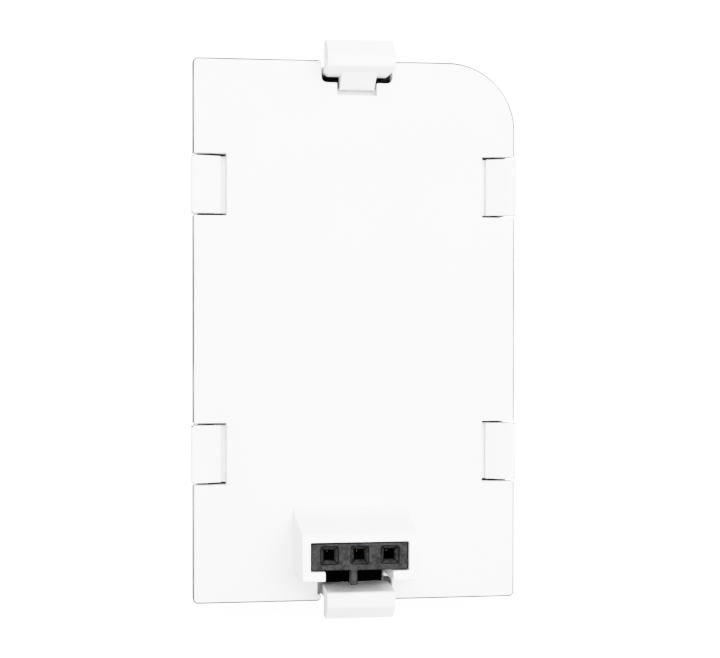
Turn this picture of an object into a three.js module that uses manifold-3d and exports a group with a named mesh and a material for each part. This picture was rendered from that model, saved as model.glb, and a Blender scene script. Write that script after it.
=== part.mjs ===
// Clip-in battery module with a three-way socket, built as its separate pieces.
//
// Units are millimetres. X is across the module, Z is up it, and Y goes into it: the cover plate's
// outer face is the plane Y = 0, the case lies behind it and the shroud and clips stand in front.
// The origin is the middle of that face.

import * as THREE from "three";
import { mergeVertices } from "three/addons/utils/BufferGeometryUtils.js";
import Module from "manifold-3d";

const wasm = await Module();
wasm.setup();

// ---- Driving dimensions ----

// Case
const PLATE_W = 28.0;
const PLATE_H = 46.5;
const PLATE_T = 1.3;
const CORNER_LARGE = 5.9;
const CORNER_SMALL = 0.45;
const CASE_DEPTH = 7.6;
const TRAY_INSET = 0.4;
const TRAY_CORNER = 1.2;
const WALL = 1.0;
const REAR_BEVEL = 0.5;
const PARTING_GAP = 0.15;
const LIP_T = 0.6;
const LIP_DEPTH = 1.0;
const INNER_CORNER = 0.4;
const FIT_GAP = 0.15;
const CORNER_STEPS = 20;

// Side snap arms
const SNAP_Z = { upper: 12.5, lower: -10.5 };
const POCKET_H = 5.3;
const POCKET_W = 2.9;
const POCKET_THROUGH_W = 1.85;
const LEDGE_DEPTH = 1.0;
const LEDGE_PAD = 0.5;
const SNAP_H = 4.9;
const SNAP_PROUD = 0.13;
const SNAP_ROOT_Y = 5.9;
const SNAP_EDGE = 0.22;
const SNAP_NOSE = { inner: 11.55, rampTop: 13.1, rampFoot: 0.6 };
const SNAP_SHOULDER = { front: 0.85, back: 1.4 };
const SHANK_OUT = 13.55;
const SHANK_T = 0.75;
const PAD_REACH = 1.6;

// Release latch at the top and fixed hook at the bottom
const CLIP_X = 0.1;
const CLIP_W = 5.8;
const CLIP_H = 2.8;
const NOTCH_W = 6.16;
const NOTCH_TOP_Z = 21.34;
const NOTCH_BOTTOM_Z = -21.2;
const NOTCH_CORNER = 0.55;
const SLOT_W = 3.43;
const SLOT_Z = 20.27;
const SLOT_LEDGE = 0.68;
const SLOT_LEDGE_DEPTH = 1.05;
const TONGUE_W = 3.0;
const TONGUE_Z = 20.75;
const LATCH_ROOT_Y = 5.9;
const LATCH_ARM_T = 0.65;
const LATCH_REACH = 24.75;
const CATCH_FOOT_Z = 21.85;
const CATCH_FOOT_CORNER = 0.45;
const HOOK_REACH = 24.5;
const CLIP_EDGE = 0.3;
const CLIP_FLAT_END = 23.2;
const CLIP_TIP = { front: -1.55, back: -0.2 };
const HOOK_INNER = { bend: -1.2, root: -21.9, face: -22.05, flat: -22.35 };
const CATCH_INNER = { bend: -1.3, root: 21.9, face: 22.3, flat: 22.55 };
const GUSSET = { front: -1.7, top: 22.5, bend: -1.5, bendZ: 22.0, foot: 0.15, back: 0.85 };

// Connector shroud and socket
const SOCKET_X = -0.4;
const SHROUD_H = 5.5;
const SHROUD_BASE_W = 10.0;
const SHROUD_FRONT_W = 9.7;
const SHROUD_TOP_Z = -15.1;
const SHROUD_SHOULDER = { y: -1.1, z: -15.9 };
const SHROUD_FRONT_TOP_Z = -16.7;
const SHROUD_BOTTOM_Z = -20.7;
const SHROUD_DROP = 0.15;
const SHROUD_EDGE = 0.25;
const SOCKET_W = 8.1;
const SOCKET_TOP_Z = -17.55;
const SOCKET_BOTTOM_Z = -19.83;
const SOCKET_SET_BACK = 0.3;
const SOCKET_FIT = 0.08;
const KEYWAY = { left: -3.3, right: 2.4 };
const KEY_RIB = { x: -0.89, width: 0.6, bottom: -21.05 };
const HOUSING_FOOT = { left: -3.2, right: 2.3, front: 0.2, bottom: -21.62 };
const CONTACT_PITCH = 2.54;
const CAVITY = 0.86;
const LEAD_IN = 1.46;
const LEAD_IN_DEPTH = 0.5;
const LEAF = { thickness: 0.14, reach: 0.34, height: 0.6, pinch: 0.08, tip: -3.6, waist: -2.4, root: -1.2 };
const CONTACT_BASE = [2.3, 2.8];
const TAIL = { width: 0.5, height: 0.3, length: 1.0 };

// Board, cell and packing
const BOARD = { x: 10.6, bottom: -21.1, top: -13.9, front: 3.2, thickness: 0.8 };
const POST = { x: 9.6, z: -14.95, radius: 1.1, pin: 0.5, hole: 0.7 };
const TAIL_HOLE = 0.45;
const BOARD_RIB = { inner: 9.4, outer: 10.2, z: [-20.9, -18.6] };
const BOARD_REST = { inner: 8.6, outer: 9.6, z: [-21, -19.5] };
const CELL = { x: 11.2, bottom: -10.6, top: 19.5, front: 2.1, back: 6.1, terrace: -12.7 };
const TAB = { x: 6.0, width: 3.0, thickness: 0.15, bottom: -15.5, top: -10.95 };
const CELL_CORNER = 0.9;
const TERRACE = { inset: 0.6, front: 3.35, back: 3.65 };
const CELL_STOP = { inner: 7.6, outer: 9.6, front: 5.1, height: 0.6 };
const TAPE = { x: 10.2, y: [2.68, 2.76], z: [-13.3, -10.75] };
const FRONT_PAD = { x: 8.5, y: [1.4, 1.95], z: [-7.5, 17.5] };
const REAR_PAD = { x: 9.5, y: [6.2, 6.5], z: [-9.0, 18.5] };
const END_PAD = { x: 8.0, y: [2.5, 6.4], z: [CELL.top + 0.1, 21.2] };
const LABEL = { x: 10.4, z: 16.5, corner: 0.8, recess: 0.25, lift: 0.06, thickness: 0.14 };
const LABEL_MARGIN = 0.15;

// Depth of the tray's inner floor, and the plane where the tray meets the cover
const FLOOR_Y = CASE_DEPTH - WALL;
const RIM_Y = PLATE_T + PARTING_GAP;
const BOARD_BACK = BOARD.front + BOARD.thickness;
const HOOK_OUT = PLATE_H / 2 - TRAY_INSET;

// How far a cutter runs past what it cuts, and how far a joined block runs into its neighbour
const PAST = 2;
const MERGE = 0.1;

// ---- Finishes ----

const finish = (color, roughness, metalness = 0) =>
  new THREE.MeshStandardMaterial({ color, roughness, metalness });

const whitePlastic = () => finish(0xf4f4f2, 0.55);
const blackPlastic = () => finish(0x38383a, 0.6);
const brightMetal = () => finish(0xc9b37a, 0.3, 1);
const nickel = () => finish(0xb9b7b0, 0.35, 1);
const boardGreen = () => finish(0x1e5a38, 0.5);
const foilPouch = () => finish(0xb4b8bd, 0.35, 0.8);
const amberFilm = () => finish(0xb9771f, 0.3);
const greyFoam = () => finish(0x55585c, 0.95);
const packageBlack = () => finish(0x1b1b1d, 0.5);
const ceramicTan = () => finish(0x9a7b55, 0.5);
const labelWhite = () => finish(0xe6e7e4, 0.5);

// ---- Solids ----

/** A three.js geometry as a closed solid that can be joined and cut. */
function solid(geometry) {
  const bare = geometry.clone();
  bare.deleteAttribute("normal");
  bare.deleteAttribute("uv");
  const welded = mergeVertices(bare, 1e-5);
  const vertProperties = new Float32Array(welded.attributes.position.array);
  const triVerts = new Uint32Array(welded.index.array);
  return new wasm.Manifold(new wasm.Mesh({ numProp: 3, vertProperties, triVerts }));
}

/** A solid as a three.js geometry. */
function geometryOf(body) {
  const { vertProperties, triVerts } = body.getMesh();
  const geometry = new THREE.BufferGeometry();
  geometry.setAttribute("position", new THREE.BufferAttribute(vertProperties, 3));
  geometry.setIndex(new THREE.BufferAttribute(triVerts, 1));
  geometry.computeVertexNormals();
  return geometry;
}

const joined = (bodies) => bodies.reduce((whole, body) => whole.add(body));
const without = (body, cutters) => cutters.reduce((rest, cutter) => rest.subtract(cutter), body);

/** A box between two values on each axis. */
function block([x0, x1], [y0, y1], [z0, z1]) {
  const box = new THREE.BoxGeometry(x1 - x0, y1 - y0, z1 - z0);
  return solid(box.translate((x0 + x1) / 2, (y0 + y1) / 2, (z0 + z1) / 2));
}

/** A box as wide on both sides of the middle, from its half width and its ranges on Y and Z. */
const slab = ({ x, y, z }) => block([-x, x], y, z);

/** A round pin along Y. */
function pin(radius, x, z, [y0, y1], sides = 20) {
  const rod = new THREE.CylinderGeometry(radius, radius, y1 - y0, sides);
  return solid(rod.translate(x, (y0 + y1) / 2, z));
}

/** A shape drawn as X and Z, run along Y from its front to its back. */
function facing(shape, front, back) {
  const run = new THREE.ExtrudeGeometry(shape, {
    depth: back - front,
    bevelEnabled: false,
    curveSegments: CORNER_STEPS,
  });
  return solid(run.rotateX(Math.PI / 2).translate(0, back, 0));
}

/** A shape drawn as Y and Z, run along X about a middle. */
function sideways(shape, middle, width) {
  const run = new THREE.ExtrudeGeometry(shape, { depth: width, bevelEnabled: false, curveSegments: 8 });
  const turn = new THREE.Matrix4().makeBasis(
    new THREE.Vector3(0, 1, 0),
    new THREE.Vector3(0, 0, 1),
    new THREE.Vector3(1, 0, 0),
  );
  return solid(run.applyMatrix4(turn).translate(middle - width / 2, 0, 0));
}

/** A shape drawn as X and Y, run up Z about a middle. */
function upright(shape, middle, height) {
  const run = new THREE.ExtrudeGeometry(shape, { depth: height, bevelEnabled: false, curveSegments: 6 });
  return solid(run.translate(0, 0, middle - height / 2));
}

const polygon = (points) => new THREE.Shape(points.map(([a, b]) => new THREE.Vector2(a, b)));

/** The case's outline: one large corner at the top right and three small ones. */
function caseOutline(inset, small, large = CORNER_LARGE - inset) {
  const x = PLATE_W / 2 - inset;
  const z = PLATE_H / 2 - inset;
  const shape = new THREE.Shape();
  shape.moveTo(-x + small, -z);
  shape.lineTo(x - small, -z);
  shape.absarc(x - small, -z + small, small, -Math.PI / 2, 0);
  shape.lineTo(x, z - large);
  shape.absarc(x - large, z - large, large, 0, Math.PI / 2);
  shape.lineTo(-x + small, z);
  shape.absarc(-x + small, z - small, small, Math.PI / 2, Math.PI);
  shape.lineTo(-x, -z + small);
  shape.absarc(-x + small, -z + small, small, Math.PI, 1.5 * Math.PI);
  return shape;
}

// ---- Pieces ----

const SNAPS = [
  { name: "snap_arm_left_upper", side: -1, z: SNAP_Z.upper },
  { name: "snap_arm_left_lower", side: -1, z: SNAP_Z.lower },
  { name: "snap_arm_right_upper", side: 1, z: SNAP_Z.upper },
  { name: "snap_arm_right_lower", side: 1, z: SNAP_Z.lower },
];

/** A range on X, given outwards from the middle, put on one side of the case. */
const onSide = (side, inner, outer) => (side > 0 ? [inner, outer] : [-outer, -inner]);
const around = (middle, width) => [middle - width / 2, middle + width / 2];

const batteryModule = new THREE.Group();
batteryModule.name = "battery_module";

function addPart(name, body, material) {
  const mesh = new THREE.Mesh(geometryOf(body), material);
  mesh.name = name;
  batteryModule.add(mesh);
}

/** The room that one snap arm has in the cover: a pocket down to a ledge, open past its ends. */
function coverPocket({ side, z }) {
  const edge = PLATE_W / 2;
  const tall = around(z, POCKET_H);
  const wide = onSide(side, edge - POCKET_W, edge + PAST);
  const through = [-PAST, LIP_DEPTH + PAST];
  const endGap = (POCKET_H - SNAP_H) / 2;
  return [
    block(wide, [-PAST, LEDGE_DEPTH], tall),
    block(onSide(side, edge - POCKET_THROUGH_W, edge + PAST), through, tall),
    block(wide, through, [tall[0], tall[0] + endGap]),
    block(wide, through, [tall[1] - endGap, tall[1]]),
  ];
}

/** The thicker pad behind a ledge, which the snap arm's nose bears on. */
function ledgePad({ side, z }) {
  const outer = PLATE_W / 2 - POCKET_THROUGH_W;
  const deep = [PLATE_T - MERGE, PLATE_T + LEDGE_PAD];
  return block(onSide(side, outer - PAD_REACH, outer), deep, around(z, POCKET_H + 0.8));
}

/** The notch that a clip passes through, round in its inner corners, at the plate's top or bottom edge. */
function clipNotch(innerZ, outerZ) {
  const [left, right] = around(CLIP_X, NOTCH_W);
  const step = Math.sign(outerZ) * NOTCH_CORNER;
  const shape = new THREE.Shape();
  shape.moveTo(left, outerZ);
  shape.lineTo(left, innerZ + step);
  shape.quadraticCurveTo(left, innerZ, left + NOTCH_CORNER, innerZ);
  shape.lineTo(right - NOTCH_CORNER, innerZ);
  shape.quadraticCurveTo(right, innerZ, right, innerZ + step);
  shape.lineTo(right, outerZ);
  return facing(shape, -PAST / 4, PLATE_T + LIP_DEPTH + PAST);
}

/** The shroud's outside: a drafted block with a sloping shoulder above it. */
function shroudBlock() {
  const profile = polygon([
    [PLATE_T / 2, SHROUD_BOTTOM_Z - SHROUD_DROP],
    [PLATE_T / 2, SHROUD_TOP_Z],
    [0, SHROUD_TOP_Z],
    [SHROUD_SHOULDER.y * 0.45, SHROUD_SHOULDER.z * 0.55 + SHROUD_TOP_Z * 0.45],
    [SHROUD_SHOULDER.y, SHROUD_SHOULDER.z],
    [-SHROUD_H + SHROUD_EDGE, SHROUD_FRONT_TOP_Z],
    [-SHROUD_H, SHROUD_FRONT_TOP_Z - SHROUD_EDGE],
    [-SHROUD_H, SHROUD_BOTTOM_Z],
  ]);
  const body = sideways(profile, SOCKET_X, SHROUD_BASE_W);
  const draft = (SHROUD_BASE_W - SHROUD_FRONT_W) / SHROUD_BASE_W / SHROUD_H;
  return body.warp((point) => {
    point[0] = SOCKET_X + (point[0] - SOCKET_X) * (1 + Math.min(point[1], 0) * draft);
  });
}

function frontCover() {
  const plate = facing(caseOutline(0, CORNER_SMALL), 0, PLATE_T);
  const lipInset = TRAY_INSET + WALL + FIT_GAP;
  const lip = without(facing(caseOutline(lipInset, INNER_CORNER), PLATE_T - MERGE, PLATE_T + LIP_DEPTH), [
    facing(caseOutline(lipInset + LIP_T, INNER_CORNER / 2), 0, PLATE_T + PAST),
  ]);
  const lipBreaks = [
    ...SNAPS.map(({ side, z }) =>
      block(onSide(side, PLATE_W / 2 - 3.6, PLATE_W / 2), [PLATE_T, PAST * 2], around(z, POCKET_H + 1)),
    ),
    block(around(CLIP_X, NOTCH_W + 1), [PLATE_T, PAST * 2], [-PLATE_H / 2, -20]),
    block(around(CLIP_X, NOTCH_W + 1), [PLATE_T, PAST * 2], [20, PLATE_H / 2]),
  ];
  const boardRibs = [-1, 1].map((side) =>
    block(
      onSide(side, BOARD_RIB.inner, BOARD_RIB.outer),
      [PLATE_T - MERGE, BOARD.front - FIT_GAP],
      BOARD_RIB.z,
    ),
  );
  const body = joined([
    plate,
    without(lip, lipBreaks),
    ...SNAPS.map(ledgePad),
    ...boardRibs,
    shroudBlock(),
  ]);

  const socketRoom = block(
    around(SOCKET_X, SOCKET_W + 2 * SOCKET_FIT),
    [-SHROUD_H - PAST, PLATE_T + PAST],
    [SOCKET_BOTTOM_Z - SOCKET_FIT, SOCKET_TOP_Z + SOCKET_FIT],
  );
  const keyway = block(
    [KEYWAY.left, KEYWAY.right],
    [-SHROUD_H - PAST, PLATE_T + PAST],
    [SHROUD_BOTTOM_Z - PAST, SOCKET_TOP_Z - 1],
  );
  const slot = joined([
    block(around(CLIP_X, SLOT_W), [-PAST, SLOT_LEDGE_DEPTH], [SLOT_Z, PLATE_H / 2 + PAST]),
    block(around(CLIP_X, SLOT_W), [-PAST, PLATE_T + PAST], [SLOT_Z + SLOT_LEDGE, PLATE_H / 2 + PAST]),
  ]);
  return without(body, [
    ...SNAPS.flatMap(coverPocket),
    clipNotch(NOTCH_TOP_Z, PLATE_H / 2 + PAST),
    clipNotch(NOTCH_BOTTOM_Z, -PLATE_H / 2 - PAST),
    slot,
    socketRoom,
    keyway,
  ]);
}

/** The fixed hook's side profile, running down the bottom wall to its root in the tray. */
function hookProfile() {
  const out = -HOOK_OUT;
  const shape = new THREE.Shape();
  shape.moveTo(FLOOR_Y, out);
  shape.lineTo(FLOOR_Y, out + WALL);
  shape.lineTo(CLIP_EDGE, out + WALL);
  shape.quadraticCurveTo(HOOK_INNER.bend, HOOK_INNER.root, -CLIP_H + CLIP_EDGE, HOOK_INNER.face);
  shape.quadraticCurveTo(-CLIP_H, HOOK_INNER.face, -CLIP_H, HOOK_INNER.flat);
  shape.lineTo(-CLIP_H, -CLIP_FLAT_END);
  shape.quadraticCurveTo(
    -CLIP_H,
    -CLIP_FLAT_END - CLIP_EDGE / 2,
    -CLIP_H + CLIP_EDGE / 2,
    -CLIP_FLAT_END - CLIP_EDGE,
  );
  shape.lineTo(CLIP_TIP.front, -HOOK_REACH);
  shape.lineTo(CLIP_TIP.back, -HOOK_REACH);
  shape.lineTo(CLIP_TIP.back, out - MERGE);
  shape.lineTo(CLIP_TIP.back + CLIP_EDGE, out);
  return shape;
}

function rearTray() {
  const shell = new THREE.ExtrudeGeometry(caseOutline(TRAY_INSET + REAR_BEVEL, TRAY_CORNER - REAR_BEVEL), {
    depth: CASE_DEPTH - 2 * REAR_BEVEL,
    bevelThickness: REAR_BEVEL,
    bevelSize: REAR_BEVEL,
    bevelSegments: 3,
    curveSegments: CORNER_STEPS,
  });
  const outside = solid(shell.rotateX(Math.PI / 2).translate(0, CASE_DEPTH - REAR_BEVEL, 0));
  const inside = facing(caseOutline(TRAY_INSET + WALL, INNER_CORNER), -PAST, FLOOR_Y);
  const edge = PLATE_W / 2;
  const snapWindows = SNAPS.map(({ side, z }) =>
    block(onSide(side, edge - POCKET_W, edge), [-PAST, SNAP_ROOT_Y + FIT_GAP], around(z, POCKET_H)),
  );
  const latchWindow = block(
    around(CLIP_X, NOTCH_W),
    [-PAST, LATCH_ROOT_Y + FIT_GAP],
    [PLATE_H / 2 - 3, PLATE_H / 2],
  );
  const rimCut = block([-edge, edge], [-PAST, RIM_Y], [-PLATE_H, PLATE_H]);
  const labelRecess = facing(
    roundedPanel(LABEL.x + LABEL_MARGIN, LABEL.z + LABEL_MARGIN, LABEL.corner + LABEL_MARGIN),
    CASE_DEPTH - LABEL.recess,
    CASE_DEPTH + PAST,
  );
  const posts = [-1, 1].flatMap((side) => [
    pin(POST.radius, side * POST.x, POST.z, [BOARD_BACK + FIT_GAP, FLOOR_Y + MERGE]),
    pin(POST.pin, side * POST.x, POST.z, [BOARD.front - POST.pin, FLOOR_Y + MERGE]),
    block(
      onSide(side, BOARD_REST.inner, BOARD_REST.outer),
      [BOARD_BACK + FIT_GAP, FLOOR_Y + MERGE],
      BOARD_REST.z,
    ),
  ]);
  const stopTop = CELL.terrace - FIT_GAP;
  const cellStops = [-1, 1].map((side) =>
    block(
      onSide(side, CELL_STOP.inner, CELL_STOP.outer),
      [CELL_STOP.front, FLOOR_Y + MERGE],
      [stopTop - CELL_STOP.height, stopTop],
    ),
  );
  const box = without(outside, [inside, ...snapWindows, latchWindow, rimCut, labelRecess]);
  return joined([box, sideways(hookProfile(), CLIP_X, CLIP_W), ...posts, ...cellStops]);
}

/** A rectangle about the origin with round corners, given its half sizes. */
function roundedPanel(x, z, radius) {
  const shape = new THREE.Shape();
  shape.moveTo(-x + radius, -z);
  shape.absarc(x - radius, -z + radius, radius, -Math.PI / 2, 0);
  shape.absarc(x - radius, z - radius, radius, 0, Math.PI / 2);
  shape.absarc(-x + radius, z - radius, radius, Math.PI / 2, Math.PI);
  shape.absarc(-x + radius, -z + radius, radius, Math.PI, 1.5 * Math.PI);
  return shape;
}

/** A snap arm seen from above, for the right-hand side: shank, head and sloping nose. */
function snapProfile() {
  const out = PLATE_W / 2 + SNAP_PROUD;
  const shankIn = SHANK_OUT - SHANK_T;
  const shape = new THREE.Shape();
  shape.moveTo(shankIn, SNAP_ROOT_Y);
  shape.lineTo(shankIn, LEDGE_DEPTH - FIT_GAP);
  shape.lineTo(SNAP_NOSE.inner, LEDGE_DEPTH - FIT_GAP);
  shape.lineTo(SNAP_NOSE.inner, SNAP_NOSE.rampFoot);
  shape.lineTo(SNAP_NOSE.rampTop, 0);
  shape.lineTo(out - SNAP_EDGE, 0);
  shape.quadraticCurveTo(out, 0, out, SNAP_EDGE);
  shape.lineTo(out, SNAP_SHOULDER.front);
  shape.lineTo(SHANK_OUT, SNAP_SHOULDER.back);
  shape.lineTo(SHANK_OUT, SNAP_ROOT_Y);
  return shape;
}

function snapArm({ side, z }) {
  const arm = upright(snapProfile(), z, SNAP_H);
  return side > 0 ? arm : arm.mirror([1, 0, 0]);
}

/** The latch: a thin arm up the top wall, a catch in front, and a gusset that ends in a tongue. */
function releaseLatch() {
  const out = HOOK_OUT - MERGE;
  const arm = new THREE.Shape();
  arm.moveTo(LATCH_ROOT_Y, out);
  arm.lineTo(LATCH_ROOT_Y, out - LATCH_ARM_T);
  arm.lineTo(0.75, out - LATCH_ARM_T);
  arm.lineTo(0.45, CATCH_FOOT_Z);
  arm.lineTo(0.1, CATCH_FOOT_Z);
  arm.quadraticCurveTo(CATCH_INNER.bend, CATCH_INNER.root, -CLIP_H + CLIP_EDGE, CATCH_INNER.face);
  arm.quadraticCurveTo(-CLIP_H, CATCH_INNER.face, -CLIP_H, CATCH_INNER.flat);
  arm.lineTo(-CLIP_H, CLIP_FLAT_END);
  arm.quadraticCurveTo(
    -CLIP_H,
    CLIP_FLAT_END + CLIP_EDGE / 2,
    -CLIP_H + CLIP_EDGE / 2,
    CLIP_FLAT_END + CLIP_EDGE,
  );
  arm.lineTo(CLIP_TIP.front, LATCH_REACH);
  arm.lineTo(CLIP_TIP.back, LATCH_REACH);
  arm.lineTo(CLIP_TIP.back, out + CLIP_EDGE);
  arm.lineTo(CLIP_TIP.back + CLIP_EDGE, out);
  const gusset = polygon([
    [GUSSET.front, GUSSET.top],
    [GUSSET.bend, GUSSET.bendZ],
    [GUSSET.foot, TONGUE_Z],
    [GUSSET.back, TONGUE_Z],
    [GUSSET.back, GUSSET.top],
  ]);
  const footCorners = [-1, 1].map((side) => {
    const edge = CLIP_X + (side * CLIP_W) / 2;
    const corner = [
      [edge - side * CATCH_FOOT_CORNER, CATCH_FOOT_Z - MERGE],
      [edge + side * MERGE, CATCH_FOOT_Z - MERGE],
      [edge + side * MERGE, CATCH_FOOT_Z + CATCH_FOOT_CORNER],
    ];
    return facing(polygon(side > 0 ? corner : corner.toReversed()), -CLIP_H, LATCH_ROOT_Y);
  });
  const blade = without(sideways(arm, CLIP_X, CLIP_W), footCorners);
  return joined([blade, sideways(gusset, CLIP_X, TONGUE_W)]);
}

const CONTACTS = [
  { name: "contact_positive", x: SOCKET_X - CONTACT_PITCH },
  { name: "contact_sense", x: SOCKET_X },
  { name: "contact_negative", x: SOCKET_X + CONTACT_PITCH },
];
const CONTACT_Z = (SOCKET_TOP_Z + SOCKET_BOTTOM_Z) / 2 + 0.12;
const SOCKET_FRONT = -SHROUD_H + SOCKET_SET_BACK;

/** A square funnel that narrows from a socket's mouth to its cavity. */
function leadIn(x) {
  const half = Math.SQRT1_2;
  const funnel = new THREE.CylinderGeometry(LEAD_IN * half, CAVITY * half, LEAD_IN_DEPTH, 4);
  funnel.rotateY(Math.PI / 4).rotateX(Math.PI).translate(x, SOCKET_FRONT + LEAD_IN_DEPTH / 2, CONTACT_Z);
  return solid(funnel);
}

function socketHousing() {
  const back = BOARD.front - FIT_GAP;
  const body = joined([
    block(around(SOCKET_X, SOCKET_W), [SOCKET_FRONT, back], [SOCKET_BOTTOM_Z, SOCKET_TOP_Z]),
    block(
      [HOUSING_FOOT.left, HOUSING_FOOT.right],
      [HOUSING_FOOT.front, back],
      [HOUSING_FOOT.bottom, SOCKET_TOP_Z - 1],
    ),
    block(
      around(KEY_RIB.x, KEY_RIB.width),
      [SOCKET_FRONT, HOUSING_FOOT.front + MERGE],
      [KEY_RIB.bottom, SOCKET_TOP_Z - 1],
    ),
  ]);
  const cuts = CONTACTS.flatMap(({ x }) => [
    leadIn(x),
    block(around(x, CAVITY), [SOCKET_FRONT - PAST, back + PAST], around(CONTACT_Z, CAVITY)),
  ]);
  return without(body, cuts);
}

/** A twin-leaf contact: two springy leaves on a base, and a tail through the board. */
function contact(x) {
  const { thickness, reach, height, pinch, tip, waist, root } = LEAF;
  const [baseFront, baseBack] = CONTACT_BASE;
  const sides = [-1, 1].map((side) => {
    const outer = x + side * reach;
    const inner = x + side * (reach - thickness);
    const leafShape = polygon([
      [outer, baseBack],
      [inner, baseBack],
      [inner, root],
      [inner - side * pinch, waist],
      [inner, tip],
      [outer, tip],
      [outer - side * pinch, waist],
      [outer, root],
    ]);
    return upright(leafShape, CONTACT_Z, height);
  });
  return joined([
    ...sides,
    block(around(x, 2 * reach), [baseFront, baseBack], around(CONTACT_Z, height)),
    block(
      around(x, TAIL.width),
      [baseBack - MERGE, BOARD_BACK + TAIL.length],
      around(CONTACT_Z, TAIL.height),
    ),
  ]);
}

function protectionBoard() {
  const board = block([-BOARD.x, BOARD.x], [BOARD.front, BOARD_BACK], [BOARD.bottom, BOARD.top]);
  const through = [BOARD.front - PAST, BOARD_BACK + PAST];
  return without(board, [
    ...CONTACTS.map(({ x }) => pin(TAIL_HOLE, x, CONTACT_Z, through)),
    ...[-1, 1].map((side) => pin(POST.hole, side * POST.x, POST.z, through)),
  ]);
}

/** The pouch cell: a crowned body, and the thinner sealed terrace that its tabs leave by. */
function pouchCell() {
  const outline = new THREE.Shape();
  const { x, bottom, top, front, back } = CELL;
  const soft = CELL_CORNER;
  outline.moveTo(-x + soft, bottom);
  outline.absarc(x - soft, bottom + soft, soft, -Math.PI / 2, 0);
  outline.absarc(x - soft, top - soft, soft, 0, Math.PI / 2);
  outline.absarc(-x + soft, top - soft, soft, Math.PI / 2, Math.PI);
  outline.absarc(-x + soft, bottom + soft, soft, Math.PI, 1.5 * Math.PI);
  return joined([
    facing(outline, front, back),
    block(
      [-x + TERRACE.inset, x - TERRACE.inset],
      [TERRACE.front, TERRACE.back],
      [CELL.terrace, bottom + TERRACE.inset],
    ),
  ]);
}

/** A flat nickel tab from the cell's terrace to its pad on the board. */
function cellTab(side) {
  const back = BOARD.front - MERGE;
  return block(around(side * TAB.x, TAB.width), [back - TAB.thickness, back], [TAB.bottom, TAB.top]);
}

/** A leaded package: a moulded body with square feet down to the board on two sides. */
function chipPackage({ x, z, width, height, tall, feet, footPitch }) {
  const foot = BOARD.front - 0.05;
  const body = block(around(x, width), [foot - tall, foot - 0.1], around(z, height));
  const legs = [];
  for (const side of [-1, 1]) {
    for (let n = 0; n < feet; n += 1) {
      const legX = x + (n - (feet - 1) / 2) * footPitch;
      const reach = height / 2 + 0.5;
      legs.push(block(around(legX, 0.3), [foot - 0.25, foot], side > 0 ? [z, z + reach] : [z - reach, z]));
    }
  }
  return joined([body, ...legs]);
}

/** A chip part without leads: a body between two end caps that stand slightly proud. */
function chipPart({ x, z, width, height, tall }) {
  const foot = BOARD.front - 0.05;
  const cap = width * 0.18;
  return joined([
    block(around(x, width - 0.1), [foot - tall, foot - 0.03], around(z, height - 0.04)),
    block([x - width / 2, x - width / 2 + cap], [foot - tall - 0.03, foot], around(z, height)),
    block([x + width / 2 - cap, x + width / 2], [foot - tall - 0.03, foot], around(z, height)),
  ]);
}

// ---- Assembly ----

addPart("rear_tray", rearTray(), whitePlastic());
addPart("front_cover", frontCover(), whitePlastic());
for (const snap of SNAPS) {
  addPart(snap.name, snapArm(snap), whitePlastic());
}
addPart("release_latch", releaseLatch(), whitePlastic());

addPart("socket_housing", socketHousing(), blackPlastic());
for (const { name, x } of CONTACTS) {
  addPart(name, contact(x), brightMetal());
}

addPart("protection_board", protectionBoard(), boardGreen());
addPart(
  "protection_chip",
  chipPackage({ x: -7.0, z: -17.7, width: 2.9, height: 1.6, tall: 1.1, feet: 3, footPitch: 0.95 }),
  packageBlack(),
);
addPart(
  "switch_transistors",
  chipPackage({ x: 6.9, z: -18.4, width: 3.0, height: 3.2, tall: 1.0, feet: 4, footPitch: 0.65 }),
  packageBlack(),
);
addPart(
  "sense_resistor",
  chipPart({ x: -6.6, z: -20.1, width: 3.2, height: 1.5, tall: 0.6 }),
  packageBlack(),
);
addPart("fuse", chipPart({ x: 0.9, z: -15.6, width: 3.2, height: 1.6, tall: 0.7 }), ceramicTan());
addPart(
  "thermistor",
  chipPart({ x: -2.4, z: -14.9, width: 1.6, height: 0.8, tall: 0.8 }),
  packageBlack(),
);
addPart(
  "filter_capacitor",
  chipPart({ x: -2.4, z: -16.2, width: 1.6, height: 0.8, tall: 0.8 }),
  ceramicTan(),
);

addPart("battery_cell", pouchCell(), foilPouch());
addPart("cell_tab_positive", cellTab(-1), nickel());
addPart("cell_tab_negative", cellTab(1), nickel());
addPart("insulating_tape", slab(TAPE), amberFilm());
addPart("front_foam_pad", slab(FRONT_PAD), greyFoam());
addPart("rear_foam_pad", slab(REAR_PAD), greyFoam());
addPart("end_foam_pad", slab(END_PAD), greyFoam());
addPart(
  "blank_label",
  facing(
    roundedPanel(LABEL.x, LABEL.z, LABEL.corner),
    CASE_DEPTH - LABEL.recess + LABEL.lift,
    CASE_DEPTH - LABEL.recess + LABEL.lift + LABEL.thickness,
  ),
  labelWhite(),
);

export default batteryModule;
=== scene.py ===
"""Looks of a clip-in battery module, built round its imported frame.

Sizes are in metres, on the frame's own axes: X runs across the module, Y into its case and Z up it.
The cover plate's outer face is the plane Y = 0, and the clips and the shroud stand in front of it.
"""

import logging
import math
from collections.abc import Callable, Sequence
from dataclasses import dataclass
from enum import Enum

import bmesh
import bpy
from mathutils import Matrix, Vector


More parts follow.
